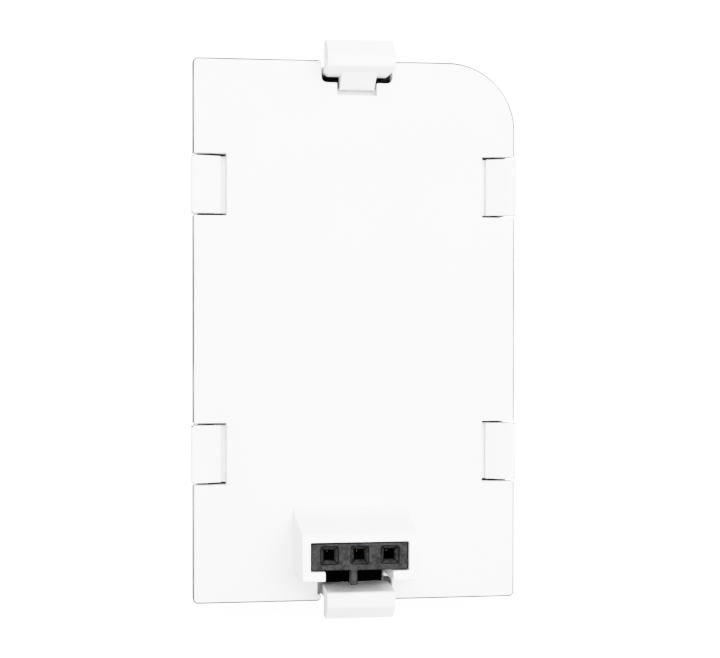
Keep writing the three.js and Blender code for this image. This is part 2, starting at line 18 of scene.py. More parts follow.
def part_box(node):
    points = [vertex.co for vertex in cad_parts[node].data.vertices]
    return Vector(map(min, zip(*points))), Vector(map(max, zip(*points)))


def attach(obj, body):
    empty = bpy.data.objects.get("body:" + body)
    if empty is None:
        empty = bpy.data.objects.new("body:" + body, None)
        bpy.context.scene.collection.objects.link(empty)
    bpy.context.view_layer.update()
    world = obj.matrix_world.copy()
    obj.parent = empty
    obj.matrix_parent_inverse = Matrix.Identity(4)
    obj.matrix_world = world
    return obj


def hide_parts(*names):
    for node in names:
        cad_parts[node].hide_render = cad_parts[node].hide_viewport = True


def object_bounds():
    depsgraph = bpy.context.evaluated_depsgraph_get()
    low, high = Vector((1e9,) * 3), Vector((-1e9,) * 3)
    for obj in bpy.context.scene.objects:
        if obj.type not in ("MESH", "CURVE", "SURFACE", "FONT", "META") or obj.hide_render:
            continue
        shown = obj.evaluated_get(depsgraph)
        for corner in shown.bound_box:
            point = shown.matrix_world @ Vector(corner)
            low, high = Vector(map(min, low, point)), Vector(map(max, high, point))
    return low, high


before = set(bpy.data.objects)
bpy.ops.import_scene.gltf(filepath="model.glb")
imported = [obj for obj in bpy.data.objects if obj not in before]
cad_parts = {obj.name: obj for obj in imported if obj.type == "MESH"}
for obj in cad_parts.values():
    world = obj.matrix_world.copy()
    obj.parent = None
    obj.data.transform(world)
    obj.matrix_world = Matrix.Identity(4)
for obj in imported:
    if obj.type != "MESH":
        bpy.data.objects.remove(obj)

LOG = logging.getLogger("battery_module")
CAD_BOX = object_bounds()
MM = 0.001
WELD = 0.0005 * MM
FLAT = math.radians(0.3)
SHARP = math.radians(25)
WHITE_LIGHT = (1.0, 1.0, 1.0, 1.0)


class Body(Enum):
    """The rigid bodies that pieces ride on."""

    CASE = "case"
    LATCH = "latch"
    SNAP_LEFT_UPPER = "snap_left_upper"
    SNAP_LEFT_LOWER = "snap_left_lower"
    SNAP_RIGHT_UPPER = "snap_right_upper"
    SNAP_RIGHT_LOWER = "snap_right_lower"


class Slot(Enum):
    """The record's material slots."""

    WHITE = "white_plastic"
    BLACK = "black_plastic"
    CONTACT = "contact_metal"
    BOARD = "board"
    PACKAGE = "package"
    CERAMIC = "ceramic_part"
    POUCH = "cell_pouch"
    NICKEL = "nickel"
    TAPE = "tape"
    FOAM = "foam"
    LABEL = "label"


# ---- Node trees ----


class Graph:
    """A node tree while it is being wired."""

    def __init__(self, tree: bpy.types.NodeTree) -> None:
        """Keeps the tree.

        Args:
            tree: The shader or geometry tree to add nodes to.
        """
        self.tree = tree

    def node(self, kind: str, inputs: dict | None = None, **settings: object) -> bpy.types.Node:
        """Adds one node.

        Args:
            kind: The node's type name.
            inputs: Socket name or number to a plain value, or to the socket that feeds it.
            settings: The node's own settings.

        Returns:
            The new node.
        """
        made = self.tree.nodes.new(kind)
        for name, value in settings.items():
            setattr(made, name, value)
        for name, value in (inputs or {}).items():
            if isinstance(value, bpy.types.NodeSocket):
                self.tree.links.new(value, made.inputs[name])
            else:
                made.inputs[name].default_value = value
        return made

    def math(self, operation: str, *values: object, clamp: bool = False) -> bpy.types.NodeSocket:
        """Adds a Math node over sockets or numbers, and returns its output."""
        made = self.node("ShaderNodeMath", dict(enumerate(values)), operation=operation, use_clamp=clamp)
        return made.outputs[0]

    def ramp(self, factor: bpy.types.NodeSocket, low: float, high: float) -> bpy.types.NodeSocket:
        """Adds a smooth step of a factor between two values, and returns its output."""
        span = {"Value": factor, "From Min": low, "From Max": high}
        made = self.node("ShaderNodeMapRange", span, interpolation_type="SMOOTHSTEP")
        return made.outputs["Result"]

    def mix(self, factor: object, low: object, high: object) -> bpy.types.NodeSocket:
        """Adds a colour mix, and returns its colour."""
        made = self.node("ShaderNodeMix", {"Factor": factor}, data_type="RGBA")
        for socket, value in ((made.inputs[6], low), (made.inputs[7], high)):
            if isinstance(value, bpy.types.NodeSocket):
                self.tree.links.new(value, socket)
            else:
                socket.default_value = value
        return made.outputs[2]


@dataclass(frozen=True)
class Port:
    """A named socket on a node group.

    Attributes:
        name: The socket's name.
        kind: The socket's type name.
        value: Its value when nothing feeds it.
    """

    name: str
    kind: str = "NodeSocketFloat"
    value: float | None = None


VECTOR = "NodeSocketVector"
GEOMETRY = "NodeSocketGeometry"


def new_group(name: str, kind: str, takes: Sequence[Port], gives: Sequence[Port]) -> tuple:
    """Starts a node group with named sockets.

    Args:
        name: The group's name.
        kind: ShaderNodeTree or GeometryNodeTree.
        takes: Its inputs.
        gives: Its outputs.

    Returns:
        The graph, the group's input node and its output node.
    """
    tree = bpy.data.node_groups.new(name, kind)
    for ports, side in ((takes, "INPUT"), (gives, "OUTPUT")):
        for port in ports:
            socket = tree.interface.new_socket(name=port.name, in_out=side, socket_type=port.kind)
            if port.value is not None:
                socket.default_value = port.value
    graph = Graph(tree)
    return graph, graph.node("NodeGroupInput"), graph.node("NodeGroupOutput")


class Effects:
    """Surface effects that several finishes share, each built once as a shader group."""

    def __init__(self) -> None:
        """Starts with no group built."""
        self.built: dict[str, bpy.types.NodeTree] = {}

    def get(self, name: str) -> bpy.types.NodeTree:
        """Returns the named group, building it the first time."""
        if name not in self.built:
            makers = {
                "eroded_grain": self.eroded_grain,
                "fibre_speckle": self.fibre_speckle,
                "hairline_scuffs": self.hairline_scuffs,
                "drawn_lines": self.drawn_lines,
            }
            self.built[name] = makers[name](name)
        return self.built[name]

    def place(self, graph: Graph, name: str, **values: object) -> bpy.types.Node:
        """Adds one of the groups to a material.

        Args:
            graph: The material's graph.
            name: The group's name.
            values: Input values, with underscores for the spaces of a socket's name.

        Returns:
            The group node.
        """
        inputs = {key.replace("_", " "): value for key, value in values.items()}
        return graph.node("ShaderNodeGroup", inputs, node_tree=self.get(name))

    @staticmethod
    def eroded_grain(name: str) -> bpy.types.NodeTree:
        """The fine pitted grain that a spark-eroded mould leaves, and a slow change of tone."""
        takes = (Port("Vector", VECTOR), Port("Grain", value=9000.0), Port("Tone", value=180.0))
        graph, start, end = new_group(name, "ShaderNodeTree", takes, (Port("Height"), Port("Mottle")))
        place = start.outputs["Vector"]
        pits = graph.node("ShaderNodeTexVoronoi", {"Vector": place, "Scale": start.outputs["Grain"]})
        half = graph.math("MULTIPLY", start.outputs["Grain"], 0.45)
        swell = graph.node("ShaderNodeTexNoise", {"Vector": place, "Scale": half, "Detail": 3.0})
        height = graph.math("MULTIPLY_ADD", pits.outputs["Distance"], 0.45, swell.outputs["Fac"])
        slow = {"Vector": place, "Scale": start.outputs["Tone"], "Detail": 4.0}
        tone = graph.node("ShaderNodeTexNoise", slow)
        graph.tree.links.new(height, end.inputs["Height"])
        graph.tree.links.new(graph.ramp(tone.outputs["Fac"], 0.3, 0.7), end.inputs["Mottle"])
        return graph.tree

    @staticmethod
    def fibre_speckle(name: str) -> bpy.types.NodeTree:
        """Short pale flecks, as glass fibres show at the skin of a filled plastic."""
        takes = (Port("Vector", VECTOR), Port("Scale", value=6000.0), Port("Share", value=0.3))
        graph, start, end = new_group(name, "ShaderNodeTree", takes, (Port("Mask"),))
        stretch = graph.node(
            "ShaderNodeMapping", {"Vector": start.outputs["Vector"], "Scale": (1.0, 0.45, 1.0)}
        )
        flecks = graph.node(
            "ShaderNodeTexVoronoi",
            {"Vector": stretch.outputs[0], "Scale": start.outputs["Scale"], "Randomness": 1.0},
        )
        near = graph.math("SUBTRACT", start.outputs["Share"], flecks.outputs["Distance"])
        graph.tree.links.new(graph.ramp(near, -0.12, 0.12), end.inputs["Mask"])
        return graph.tree

    @staticmethod
    def hairline_scuffs(name: str) -> bpy.types.NodeTree:
        """Sparse hairline scuffs from handling, gathered in a few patches."""
        takes = (Port("Vector", VECTOR), Port("Scale", value=900.0), Port("Spread", value=120.0))
        graph, start, end = new_group(name, "ShaderNodeTree", takes, (Port("Mask"),))
        turned = graph.node(
            "ShaderNodeMapping",
            {"Vector": start.outputs["Vector"], "Rotation": (0.4, 0.7, 1.1), "Scale": (1.0, 0.06, 0.25)},
        )
        lines = graph.node(
            "ShaderNodeTexNoise",
            {"Vector": turned.outputs[0], "Scale": start.outputs["Scale"], "Detail": 2.0},
        )
        patch = graph.node(
            "ShaderNodeTexNoise",
            {"Vector": start.outputs["Vector"], "Scale": start.outputs["Spread"], "Detail": 1.0},
        )
        mask = graph.math(
            "MULTIPLY",
            graph.ramp(lines.outputs["Fac"], 0.66, 0.74),
            graph.ramp(patch.outputs["Fac"], 0.5, 0.7),
        )
        graph.tree.links.new(mask, end.inputs["Mask"])
        return graph.tree

    @staticmethod
    def drawn_lines(name: str) -> bpy.types.NodeTree:
        """Fine lines along one direction, as rolled or drawn metal has."""
        takes = (Port("Vector", VECTOR), Port("Scale", value=4000.0))
        graph, start, end = new_group(name, "ShaderNodeTree", takes, (Port("Height"),))
        drawn = graph.node(
            "ShaderNodeMapping", {"Vector": start.outputs["Vector"], "Scale": (1.0, 1.0, 0.04)}
        )
        lines = graph.node(
            "ShaderNodeTexNoise",
            {"Vector": drawn.outputs[0], "Scale": start.outputs["Scale"], "Detail": 2.0},
        )
        graph.tree.links.new(lines.outputs["Fac"], end.inputs["Height"])
        return graph.tree


EFFECTS = Effects()


# ---- Finishes ----


@dataclass(frozen=True)
class Finish:
    """What every finish has in common.

    Attributes:
        name: The material's name.
        colour: Its main colour.
        shade: The colour that it varies towards.
        roughness: Its middle roughness.
        metallic: 1 for bare metal.
        specular: The shader's specular level.
        relief: How far the fine relief stands up, in metres.
    """

    name: str
    colour: tuple[float, float, float]
    shade: tuple[float, float, float]
    roughness: float
    metallic: float = 0.0
    specular: float = 0.5
    relief: float = 3e-6

    def material(self) -> bpy.types.Material:
        """Builds the material.

        Returns:
            The material, with its colour, roughness and relief from nodes.
        """
        made = bpy.data.materials.new(self.name)
        made.use_nodes = True
        made.node_tree.nodes.clear()
        graph = Graph(made.node_tree)
        place = graph.node("ShaderNodeTexCoord").outputs["Object"]
        shader = graph.node("ShaderNodeBsdfPrincipled")
        shader.inputs["Metallic"].default_value = self.metallic
        shader.inputs["Specular IOR Level"].default_value = self.specular
        self.dress(graph, place, shader)
        end = graph.node("ShaderNodeOutputMaterial")
        graph.tree.links.new(shader.outputs[0], end.inputs["Surface"])
        return made

    def dress(self, graph: Graph, place: bpy.types.NodeSocket, shader: bpy.types.Node) -> None:
        """Feeds the shader's colour, roughness and normal.

        Args:
            graph: The material's graph.
            place: Object coordinates.
            shader: The Principled shader.
        """
        raise NotImplementedError

    def paint(self, graph: Graph, shader: bpy.types.Node, mask: bpy.types.NodeSocket) -> None:
        """Mixes the colour towards its shade by a mask."""
        mixed = graph.mix(mask, (*self.colour, 1.0), (*self.shade, 1.0))
        graph.tree.links.new(mixed, shader.inputs["Base Color"])

    def roughen(
        self, graph: Graph, shader: bpy.types.Node, mask: bpy.types.NodeSocket, spread: float
    ) -> None:
        """Varies the roughness about its middle by a mask."""
        rough = graph.math("MULTIPLY_ADD", mask, spread, self.roughness - spread / 2)
        graph.tree.links.new(rough, shader.inputs["Roughness"])

    @staticmethod
    def coat(shader: bpy.types.Node, weight: float, roughness: float) -> None:
        """Adds a thin clear gloss."""
        shader.inputs["Coat Weight"].default_value = weight
        shader.inputs["Coat Roughness"].default_value = roughness

    def emboss(self, graph: Graph, shader: bpy.types.Node, height: bpy.types.NodeSocket) -> None:
        """Raises the surface by a height, through a bump."""
        bump = graph.node("ShaderNodeBump", {"Strength": 1.0, "Distance": self.relief, "Height": height})
        graph.tree.links.new(bump.outputs[0], shader.inputs["Normal"])


@dataclass(frozen=True)
class MouldedPlastic(Finish):
    """Plastic with the eroded grain of its mould and light scuffs, and painted shade on its marked rims and
    on its faces inside the case.

    Attributes:
        grain: The grain's scale, per metre.
        tone: The scale of its slow change of tone, per metre.
        scuffed: How far scuffs change the roughness.
        spread: How far the roughness varies in all.
        rim_shade: How much darker a marked rim is painted, as painted shade along the outline.
        rim_mottle: How far that varies along the rim.
        outline_shade_share: Share of the colour that is left under that painted shade.
        inner_shade: Share of the colour that is left on the faces inside the case, as painted shade.
        skin: Depth where that painted shade begins.
        depth: Depth where it is full.
    """

    grain: float = 9000.0
    tone: float = 160.0
    scuffed: float = 0.12
    spread: float = 0.08
    rim_shade: float = 0.8
    rim_mottle: float = 0.3
    outline_shade_share: float = 0.12
    inner_shade: float = 0.1
    skin: float = 1.1 * MM
    depth: float = 1.7 * MM

    def dress(self, graph: Graph, place: bpy.types.NodeSocket, shader: bpy.types.Node) -> None:
        """Feeds grain, tone, scuffs and the painted shade on rims and inner faces."""
        grain = EFFECTS.place(graph, "eroded_grain", Vector=place, Grain=self.grain, Tone=self.tone)
        scuffs = EFFECTS.place(graph, "hairline_scuffs", Vector=place)
        # Painted shade: the rounded rims marked by the attribute rim are painted darker, as the shadow line
        # along the outline.
        shaded_rim = graph.node("ShaderNodeAttribute", attribute_name="rim").outputs["Fac"]
        uneven = graph.math("MULTIPLY_ADD", grain.outputs["Mottle"], self.rim_mottle, self.rim_shade)
        plain = graph.mix(grain.outputs["Mottle"], (*self.colour, 1.0), (*self.shade, 1.0))
        outline_shade_colour = tuple(part * self.outline_shade_share for part in self.shade)
        edged = graph.mix(graph.math("MULTIPLY", shaded_rim, uneven), plain, (*outline_shade_colour, 1.0))
        # Painted shade: faces marked inside the case are painted near black past the skin depth.
        inside = graph.node("ShaderNodeAttribute", attribute_name="inside").outputs["Fac"]
        deep = graph.ramp(graph.node("ShaderNodeSeparateXYZ", {0: place}).outputs["Y"], self.skin, self.depth)
        within = graph.math("MULTIPLY", inside, deep)
        inner_shade_colour = tuple(part * self.inner_shade for part in self.shade)
        done = graph.mix(within, edged, (*inner_shade_colour, 1.0))
        graph.tree.links.new(done, shader.inputs["Base Color"])
        worn = graph.math("MULTIPLY_ADD", scuffs.outputs["Mask"], -self.scuffed, grain.outputs["Mottle"])
        self.roughen(graph, shader, worn, self.spread)
        self.emboss(graph, shader, grain.outputs["Height"])


@dataclass(frozen=True)
class FilledPlastic(Finish):
    """Black plastic filled with glass fibre: greyed on its front, with painted shade in its recesses and on
    its rounded edges.

    Attributes:
        grain: The grain's scale, per metre.
        tone: The scale of its mottle, per metre.
        flecks: The scale of the fibres' flecks, per metre.
        fleck_share: How much of the skin they take.
        fleck_weight: How strongly they show.
        rim_shadow_share: How strongly a rounded edge takes the painted shade.
        spread: How far the roughness varies.
        recess_shade_colour: The painted shade's colour in the recesses and on the rounded edges.
        unshaded_to: Depth down to which the plastic is greyed, which takes in the lead-ins; the painted shade
            lies behind it.
        fade: How far past it the grey fades out.
    """

    grain: float = 7000.0
    tone: float = 2400.0
    flecks: float = 4200.0
    fleck_share: float = 0.34
    fleck_weight: float = 0.6
    rim_shadow_share: float = 0.75
    spread: float = 0.14
    recess_shade_colour: tuple[float, float, float] = (0.0008, 0.0008, 0.0008)
    unshaded_to: float = -4.72 * MM
    fade: float = 0.15 * MM

    def dress(self, graph: Graph, place: bpy.types.NodeSocket, shader: bpy.types.Node) -> None:
        """Feeds flecks, mottle, grain and the painted shade in the recesses and on the rounded edges."""
        grain = EFFECTS.place(graph, "eroded_grain", Vector=place, Grain=self.grain, Tone=self.tone)
        flecks = EFFECTS.place(
            graph, "fibre_speckle", Vector=place, Scale=self.flecks, Share=self.fleck_share
        )
        mottle = grain.outputs["Mottle"]
        mask = graph.math("MULTIPLY_ADD", flecks.outputs["Mask"], self.fleck_weight, mottle, clamp=True)
        greyed = graph.mix(mask, (*self.colour, 1.0), (*self.shade, 1.0))
        depth = graph.node("ShaderNodeSeparateXYZ", {0: place}).outputs["Y"]
        # Painted shade: everything behind the front face and every marked rounded edge is painted near black.
        recessed = graph.ramp(depth, self.unshaded_to, self.unshaded_to + self.fade)
        shaded_rim = graph.node("ShaderNodeAttribute", attribute_name="rim").outputs["Fac"]
        painted_shade_mask = graph.math("MAXIMUM", recessed, graph.math("MULTIPLY", shaded_rim, self.rim_shadow_share))
        done = graph.mix(painted_shade_mask, greyed, (*self.recess_shade_colour, 1.0))
        graph.tree.links.new(done, shader.inputs["Base Color"])
        # The painted shade also takes the specular level away there.
        level = graph.math("MULTIPLY_ADD", painted_shade_mask, -self.specular, self.specular)
        graph.tree.links.new(level, shader.inputs["Specular IOR Level"])
        self.roughen(graph, shader, flecks.outputs["Mask"], self.spread)
        self.emboss(graph, shader, grain.outputs["Height"])


@dataclass(frozen=True)
class PlatedMetal(Finish):
    """Thin plated or rolled strip with drawn lines and a little tarnish.

    Attributes:
        lines: The drawn lines' scale, per metre.
        tarnish: The tarnish's fine and coarse scales, per metre.
        spread: How far the roughness varies.
    """

    lines: float = 6000.0
    tarnish: tuple[float, float] = (12000.0, 1400.0)
    spread: float = 0.22

    def dress(self, graph: Graph, place: bpy.types.NodeSocket, shader: bpy.types.Node) -> None:
        """Feeds drawn lines and tarnish."""
        drawn = EFFECTS.place(graph, "drawn_lines", Vector=place, Scale=self.lines)
        fine, coarse = self.tarnish
        tone = EFFECTS.place(graph, "eroded_grain", Vector=place, Grain=fine, Tone=coarse)
        self.paint(graph, shader, tone.outputs["Mottle"])
        self.roughen(graph, shader, drawn.outputs["Height"], self.spread)
        self.emboss(graph, shader, drawn.outputs["Height"])


@dataclass(frozen=True)
class BoardLacquer(Finish):
    """Solder mask over copper tracks, on glass weave.

    Attributes:
        pitch: The spacing of the tracks' grid, in metres.
        track_edge: Where a track's edge begins and ends across that spacing.
        weave: The glass weave's scale, per metre.
        ripple: How strongly the weave shows through.
        spread: How far the roughness varies.
        gloss: The lacquer's clear coat and the coat's roughness.
    """

    pitch: float = 1.1 * MM
    track_edge: tuple[float, float] = (0.52, 0.46)
    weave: float = 900.0
    ripple: float = 0.15
    spread: float = 0.1
    gloss: tuple[float, float] = (0.4, 0.15)

    def dress(self, graph: Graph, place: bpy.types.NodeSocket, shader: bpy.types.Node) -> None:
        """Feeds tracks under the mask and the weave's faint ripple."""
        tracks = graph.node(
            "ShaderNodeTexVoronoi",
            {"Vector": place, "Scale": 1 / self.pitch},
            distance="MANHATTAN",
            feature="F1",
        )
        copper = graph.ramp(tracks.outputs["Distance"], *self.track_edge)
        threads = {"Vector": place, "Scale": self.weave, "Distortion": 0.6}
        weave = graph.node("ShaderNodeTexWave", threads, bands_direction="X")
        mask = graph.math("MULTIPLY_ADD", weave.outputs["Fac"], self.ripple, copper, clamp=True)
        self.paint(graph, shader, mask)
        self.roughen(graph, shader, weave.outputs["Fac"], self.spread)
        self.emboss(graph, shader, mask)
        self.coat(shader, *self.gloss)


@dataclass(frozen=True)
class PouchFoil(Finish):
    """Laminated foil: soft wrinkles and a fine embossed dimple.

    Attributes:
        wrinkles: The wrinkles' scale, per metre.
        wrinkle_height: How high they stand against the dimples.
        dimples: The dimples' scale, per metre.
        spread: How far the roughness varies.
    """

    wrinkles: float = 260.0
    wrinkle_height: float = 6.0
    dimples: float = 1800.0
    spread: float = 0.2

    def dress(self, graph: Graph, place: bpy.types.NodeSocket, shader: bpy.types.Node) -> None:
        """Feeds wrinkles, dimples and tone."""
        folds = {"Vector": place, "Scale": self.wrinkles, "Detail": 5.0, "Distortion": 1.2}
        wrinkle = graph.node("ShaderNodeTexNoise", folds).outputs["Fac"]
        pressed = {"Vector": place, "Scale": self.dimples, "Randomness": 0.2}
        dimple = graph.node("ShaderNodeTexVoronoi", pressed).outputs["Distance"]
        self.paint(graph, shader, wrinkle)
        self.roughen(graph, shader, wrinkle, self.spread)
        self.emboss(graph, shader, graph.math("MULTIPLY_ADD", wrinkle, self.wrinkle_height, dimple))


@dataclass(frozen=True)
class SatinFilm(Finish):
    """A smooth film or coated paper with a faint fibre and a thin gloss.

    Attributes:
        fibre: The fibre's scale, per metre.
        cloud: The fine and coarse scales of its tone, per metre.
        scuffs: The scuffs' scale, per metre.
        spread: How far the roughness varies.
        gloss: The clear coat and the coat's roughness.
    """

    fibre: float = 2600.0
    cloud: tuple[float, float] = (5200.0, 240.0)
    scuffs: float = 1300.0
    spread: float = 0.16
    gloss: tuple[float, float] = (0.25, 0.2)

    def dress(self, graph: Graph, place: bpy.types.NodeSocket, shader: bpy.types.Node) -> None:
        """Feeds fibre and tone under the gloss."""
        fibre = graph.node("ShaderNodeTexNoise", {"Vector": place, "Scale": self.fibre, "Detail": 6.0})
        fine, coarse = self.cloud
        tone = EFFECTS.place(graph, "eroded_grain", Vector=place, Grain=fine, Tone=coarse)
        scuffs = EFFECTS.place(graph, "hairline_scuffs", Vector=place, Scale=self.scuffs)
        self.paint(graph, shader, tone.outputs["Mottle"])
        worn = graph.math("ADD", fibre.outputs["Fac"], scuffs.outputs["Mask"])
        self.roughen(graph, shader, worn, self.spread)
        self.emboss(graph, shader, fibre.outputs["Fac"])
        self.coat(shader, *self.gloss)


@dataclass(frozen=True)
class CellFoam(Finish):
    """Open-cell foam: packed round cells, with painted shade in their mouths.

    Attributes:
        cells: The cells' scale, per metre.
        mouth: Where a cell's mouth begins and ends, from its middle out.
        spread: How far the roughness varies.
    """

    cells: float = 4200.0
    mouth: tuple[float, float] = (0.2, 0.65)
    spread: float = 0.1

    def dress(self, graph: Graph, place: bpy.types.NodeSocket, shader: bpy.types.Node) -> None:
        """Feeds the cells as relief, and as colour that paints shade into their mouths."""
        cells = graph.node("ShaderNodeTexVoronoi", {"Vector": place, "Scale": self.cells})
        # Painted shade: the cells' mouths are painted darker.
        mouth = graph.ramp(cells.outputs["Distance"], *self.mouth)
        self.paint(graph, shader, mouth)
        self.roughen(graph, shader, mouth, self.spread)
        self.emboss(graph, shader, mouth)


WHITE = MouldedPlastic(
    "white_moulding", (0.855, 0.855, 0.85), (0.84, 0.84, 0.838), 0.5, specular=0.4, relief=1.2e-6
)
LABEL_FILM = SatinFilm("label_film", (0.80, 0.805, 0.80), (0.77, 0.775, 0.775), 0.38, relief=6e-7)
BLACK = FilledPlastic(
    "black_filled_plastic", (0.004, 0.004, 0.0042), (0.027, 0.027, 0.0273), 0.6, specular=0.15, relief=3e-6
)
# The gold is painted darker than bare gold, as painted shade for the contacts deep in their cavities.
GOLD = PlatedMetal("gold_plating", (0.30, 0.23, 0.11), (0.20, 0.15, 0.07), 0.45, metallic=1.0, relief=6e-7)
NICKEL = PlatedMetal("nickel_strip", (0.66, 0.64, 0.60), (0.52, 0.51, 0.49), 0.36, metallic=1.0, relief=8e-7)
SOLDER = PlatedMetal("solder", (0.72, 0.73, 0.74), (0.58, 0.58, 0.6), 0.26, metallic=1.0, relief=1e-6)
BOARD = BoardLacquer("board_mask", (0.012, 0.11, 0.045), (0.03, 0.22, 0.08), 0.4, relief=8e-6)
EPOXY = MouldedPlastic(
    "chip_epoxy", (0.022, 0.022, 0.024), (0.034, 0.034, 0.036), 0.5, relief=2e-6, grain=15000.0
)
CERAMIC = MouldedPlastic(
    "chip_ceramic", (0.40, 0.27, 0.15), (0.34, 0.22, 0.12), 0.4, relief=1e-6, grain=14000.0
)
FOIL = PouchFoil("pouch_foil", (0.62, 0.64, 0.66), (0.52, 0.54, 0.57), 0.36, metallic=0.85, relief=9e-6)
AMBER = SatinFilm("amber_film", (0.55, 0.24, 0.02), (0.46, 0.18, 0.015), 0.22, relief=5e-7)
FOAM = CellFoam("foam_cells", (0.045, 0.047, 0.05), (0.012, 0.012, 0.013), 0.92, specular=0.2, relief=4e-5)


# ---- Mesh tools ----


def node_mesh(node: str) -> bmesh.types.BMesh:
    """Copies a CAD node's shape, with its triangles welded and its flat faces made whole.

    Args:
        node: The CAD node's name.

    Returns:
        A new bmesh, which the caller frees.
    """
    shape = bmesh.new()
    shape.from_mesh(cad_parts[node].data)
    bmesh.ops.remove_doubles(shape, verts=shape.verts, dist=WELD)
    bmesh.ops.dissolve_limit(shape, angle_limit=FLAT, verts=shape.verts, edges=shape.edges)
    return shape


def new_piece(name: str, shape: bmesh.types.BMesh) -> bpy.types.Object:
    """Turns a bmesh into a linked object at the origin, and frees the bmesh."""
    mesh = bpy.data.meshes.new(name)
    shape.to_mesh(mesh)
    shape.free()
    piece = bpy.data.objects.new(name, mesh)
    bpy.context.scene.collection.objects.link(piece)
    return piece


def flatten(piece: bpy.types.Object) -> bpy.types.Object:
    """Bakes a piece's modifiers into its mesh.

    Args:
        piece: The object to bake.

    Returns:
        The same object, with a plain mesh and no modifier.
    """
    bpy.context.view_layer.update()
    graph = bpy.context.evaluated_depsgraph_get()
    mesh = bpy.data.meshes.new_from_object(piece.evaluated_get(graph), depsgraph=graph)
    mesh.name = piece.name
    piece.modifiers.clear()
    piece.data = mesh
    return piece


EdgeRadius = Callable[[Vector, Vector], float]
RimMask = Callable[[Vector], float]


def round_edges(
    name: str,
    shape: bmesh.types.BMesh,
    radius_of: EdgeRadius,
    rim_of: RimMask,
    segments: int = 3,
    clamped: bool = True,
) -> bpy.types.Object:
    """Rounds a shape's sharp edges, each by its own radius, and marks the rounded rims.

    Args:
        name: The new piece's name.
        shape: The shape, which is used up.
        radius_of: Gives an edge's radius in metres, from its middle and its direction.
        rim_of: Gives how marked a rounded face is, from 0 to 1, from its middle.
        segments: Facets across each rounded edge.
        clamped: Whether every radius shrinks where the shape has no room for them.

    Returns:
        A piece with a plain mesh, smooth shading and the attribute "rim" on its faces.
    """
    weight = shape.edges.layers.float.new("bevel_weight_edge")
    radii = {}
    for edge in shape.edges:
        if len(edge.link_faces) == 2 and edge.calc_face_angle() > SHARP:
            start, end = (corner.co for corner in edge.verts)
            radii[edge] = radius_of((start + end) / 2, (end - start).normalized())
    widest = max(radii.values())
    for edge, radius in radii.items():
        edge[weight] = radius / widest
    for face in shape.faces:
        face.smooth = True
    piece = new_piece(name, shape)
    for marker in ("flat", "rounded"):
        piece.data.materials.append(bpy.data.materials.new(marker))
    bevel = piece.modifiers.new("edge_radius", "BEVEL")
    bevel.width = widest
    bevel.use_clamp_overlap = clamped
    bevel.segments = segments
    bevel.limit_method = "WEIGHT"
    bevel.miter_outer = "MITER_ARC"
    bevel.material = 1
    even = piece.modifiers.new("even_shading", "WEIGHTED_NORMAL")
    even.weight = 100
    even.keep_sharp = True
    flatten(piece)
    rim = piece.data.attributes.new("rim", "FLOAT", "FACE")
    for face in piece.data.polygons:
        rim.data[face.index].value = rim_of(face.center) if face.material_index == 1 else 0.0
        face.material_index = 0
    marked = sum(value.value > 0 for value in rim.data)
    LOG.info("%s: %d rounded faces marked", name, marked)
    return piece


def even_radius(radius: float) -> EdgeRadius:
    """Gives every sharp edge the same radius."""
    return lambda middle, way: radius


def unmarked(middle: Vector) -> float:
    """Marks no rim."""
    return 0.0


def blocks_shape(*spans: tuple[Vector, Vector]) -> bmesh.types.BMesh:
    """Makes separate boxes, each from its low and high corner."""
    shape = bmesh.new()
    for low, high in spans:
        size = Matrix.Diagonal((*(high - low), 1.0))
        bmesh.ops.create_cube(shape, size=1.0, matrix=Matrix.Translation((low + high) / 2) @ size)
    return shape


def rings_to_shape(rings: Sequence[Sequence[Vector]]) -> bmesh.types.BMesh:
    """Joins rings of points into one closed smooth skin, with a flat cap at each end.

    Args:
        rings: Rings with the same number of points, in order along the piece.

    Returns:
        A new bmesh with its faces pointing out.
    """
    shape = bmesh.new()
    rows = [[shape.verts.new(point) for point in ring] for ring in rings]
    for row, after in zip(rows, rows[1:]):
        for n, corner in enumerate(row):
            beside = (n + 1) % len(row)
            shape.faces.new((corner, row[beside], after[beside], after[n])).smooth = True
    shape.faces.new(list(reversed(rows[0])))
    shape.faces.new(rows[-1])
    bmesh.ops.recalc_face_normals(shape, faces=shape.faces)
    return shape


def rounded_section(
    half_x: float, half_y: float, squareness: float, points: int
) -> list[tuple[float, float]]:
    """Points round a superellipse.

    Args:
        half_x: Half its width.
        half_y: Half its height.
        squareness: 2 for an ellipse, and more for squarer corners.
        points: How many points.

    Returns:
        X and Y of each point.
    """
    found = []
    for n in range(points):
        turn = math.tau * (n + 0.5) / points
        c, s = math.cos(turn), math.sin(turn)
        x = math.copysign(abs(c) ** (2 / squareness), c) * half_x
        y = math.copysign(abs(s) ** (2 / squareness), s) * half_y
        found.append((x, y))
    return found


def run_geometry_nodes(
    name: str, tree: bpy.types.NodeTree, values: dict[str, object]
) -> bpy.types.Object:
    """Makes a plain mesh from a geometry tree.

    Args:
        name: The new piece's name.
        tree: The geometry node group.
        values: Values for the tree's named inputs.

    Returns:
        The piece, with the tree's result as its mesh.
    """
    piece = new_piece(name, bmesh.new())
    modifier = piece.modifiers.new(name, "NODES")
    modifier.node_group = tree
    sockets = {item.name: item.identifier for item in tree.interface.items_tree if item.in_out == "INPUT"}
    for key, value in values.items():
        modifier[sockets[key]] = value
    return flatten(piece)


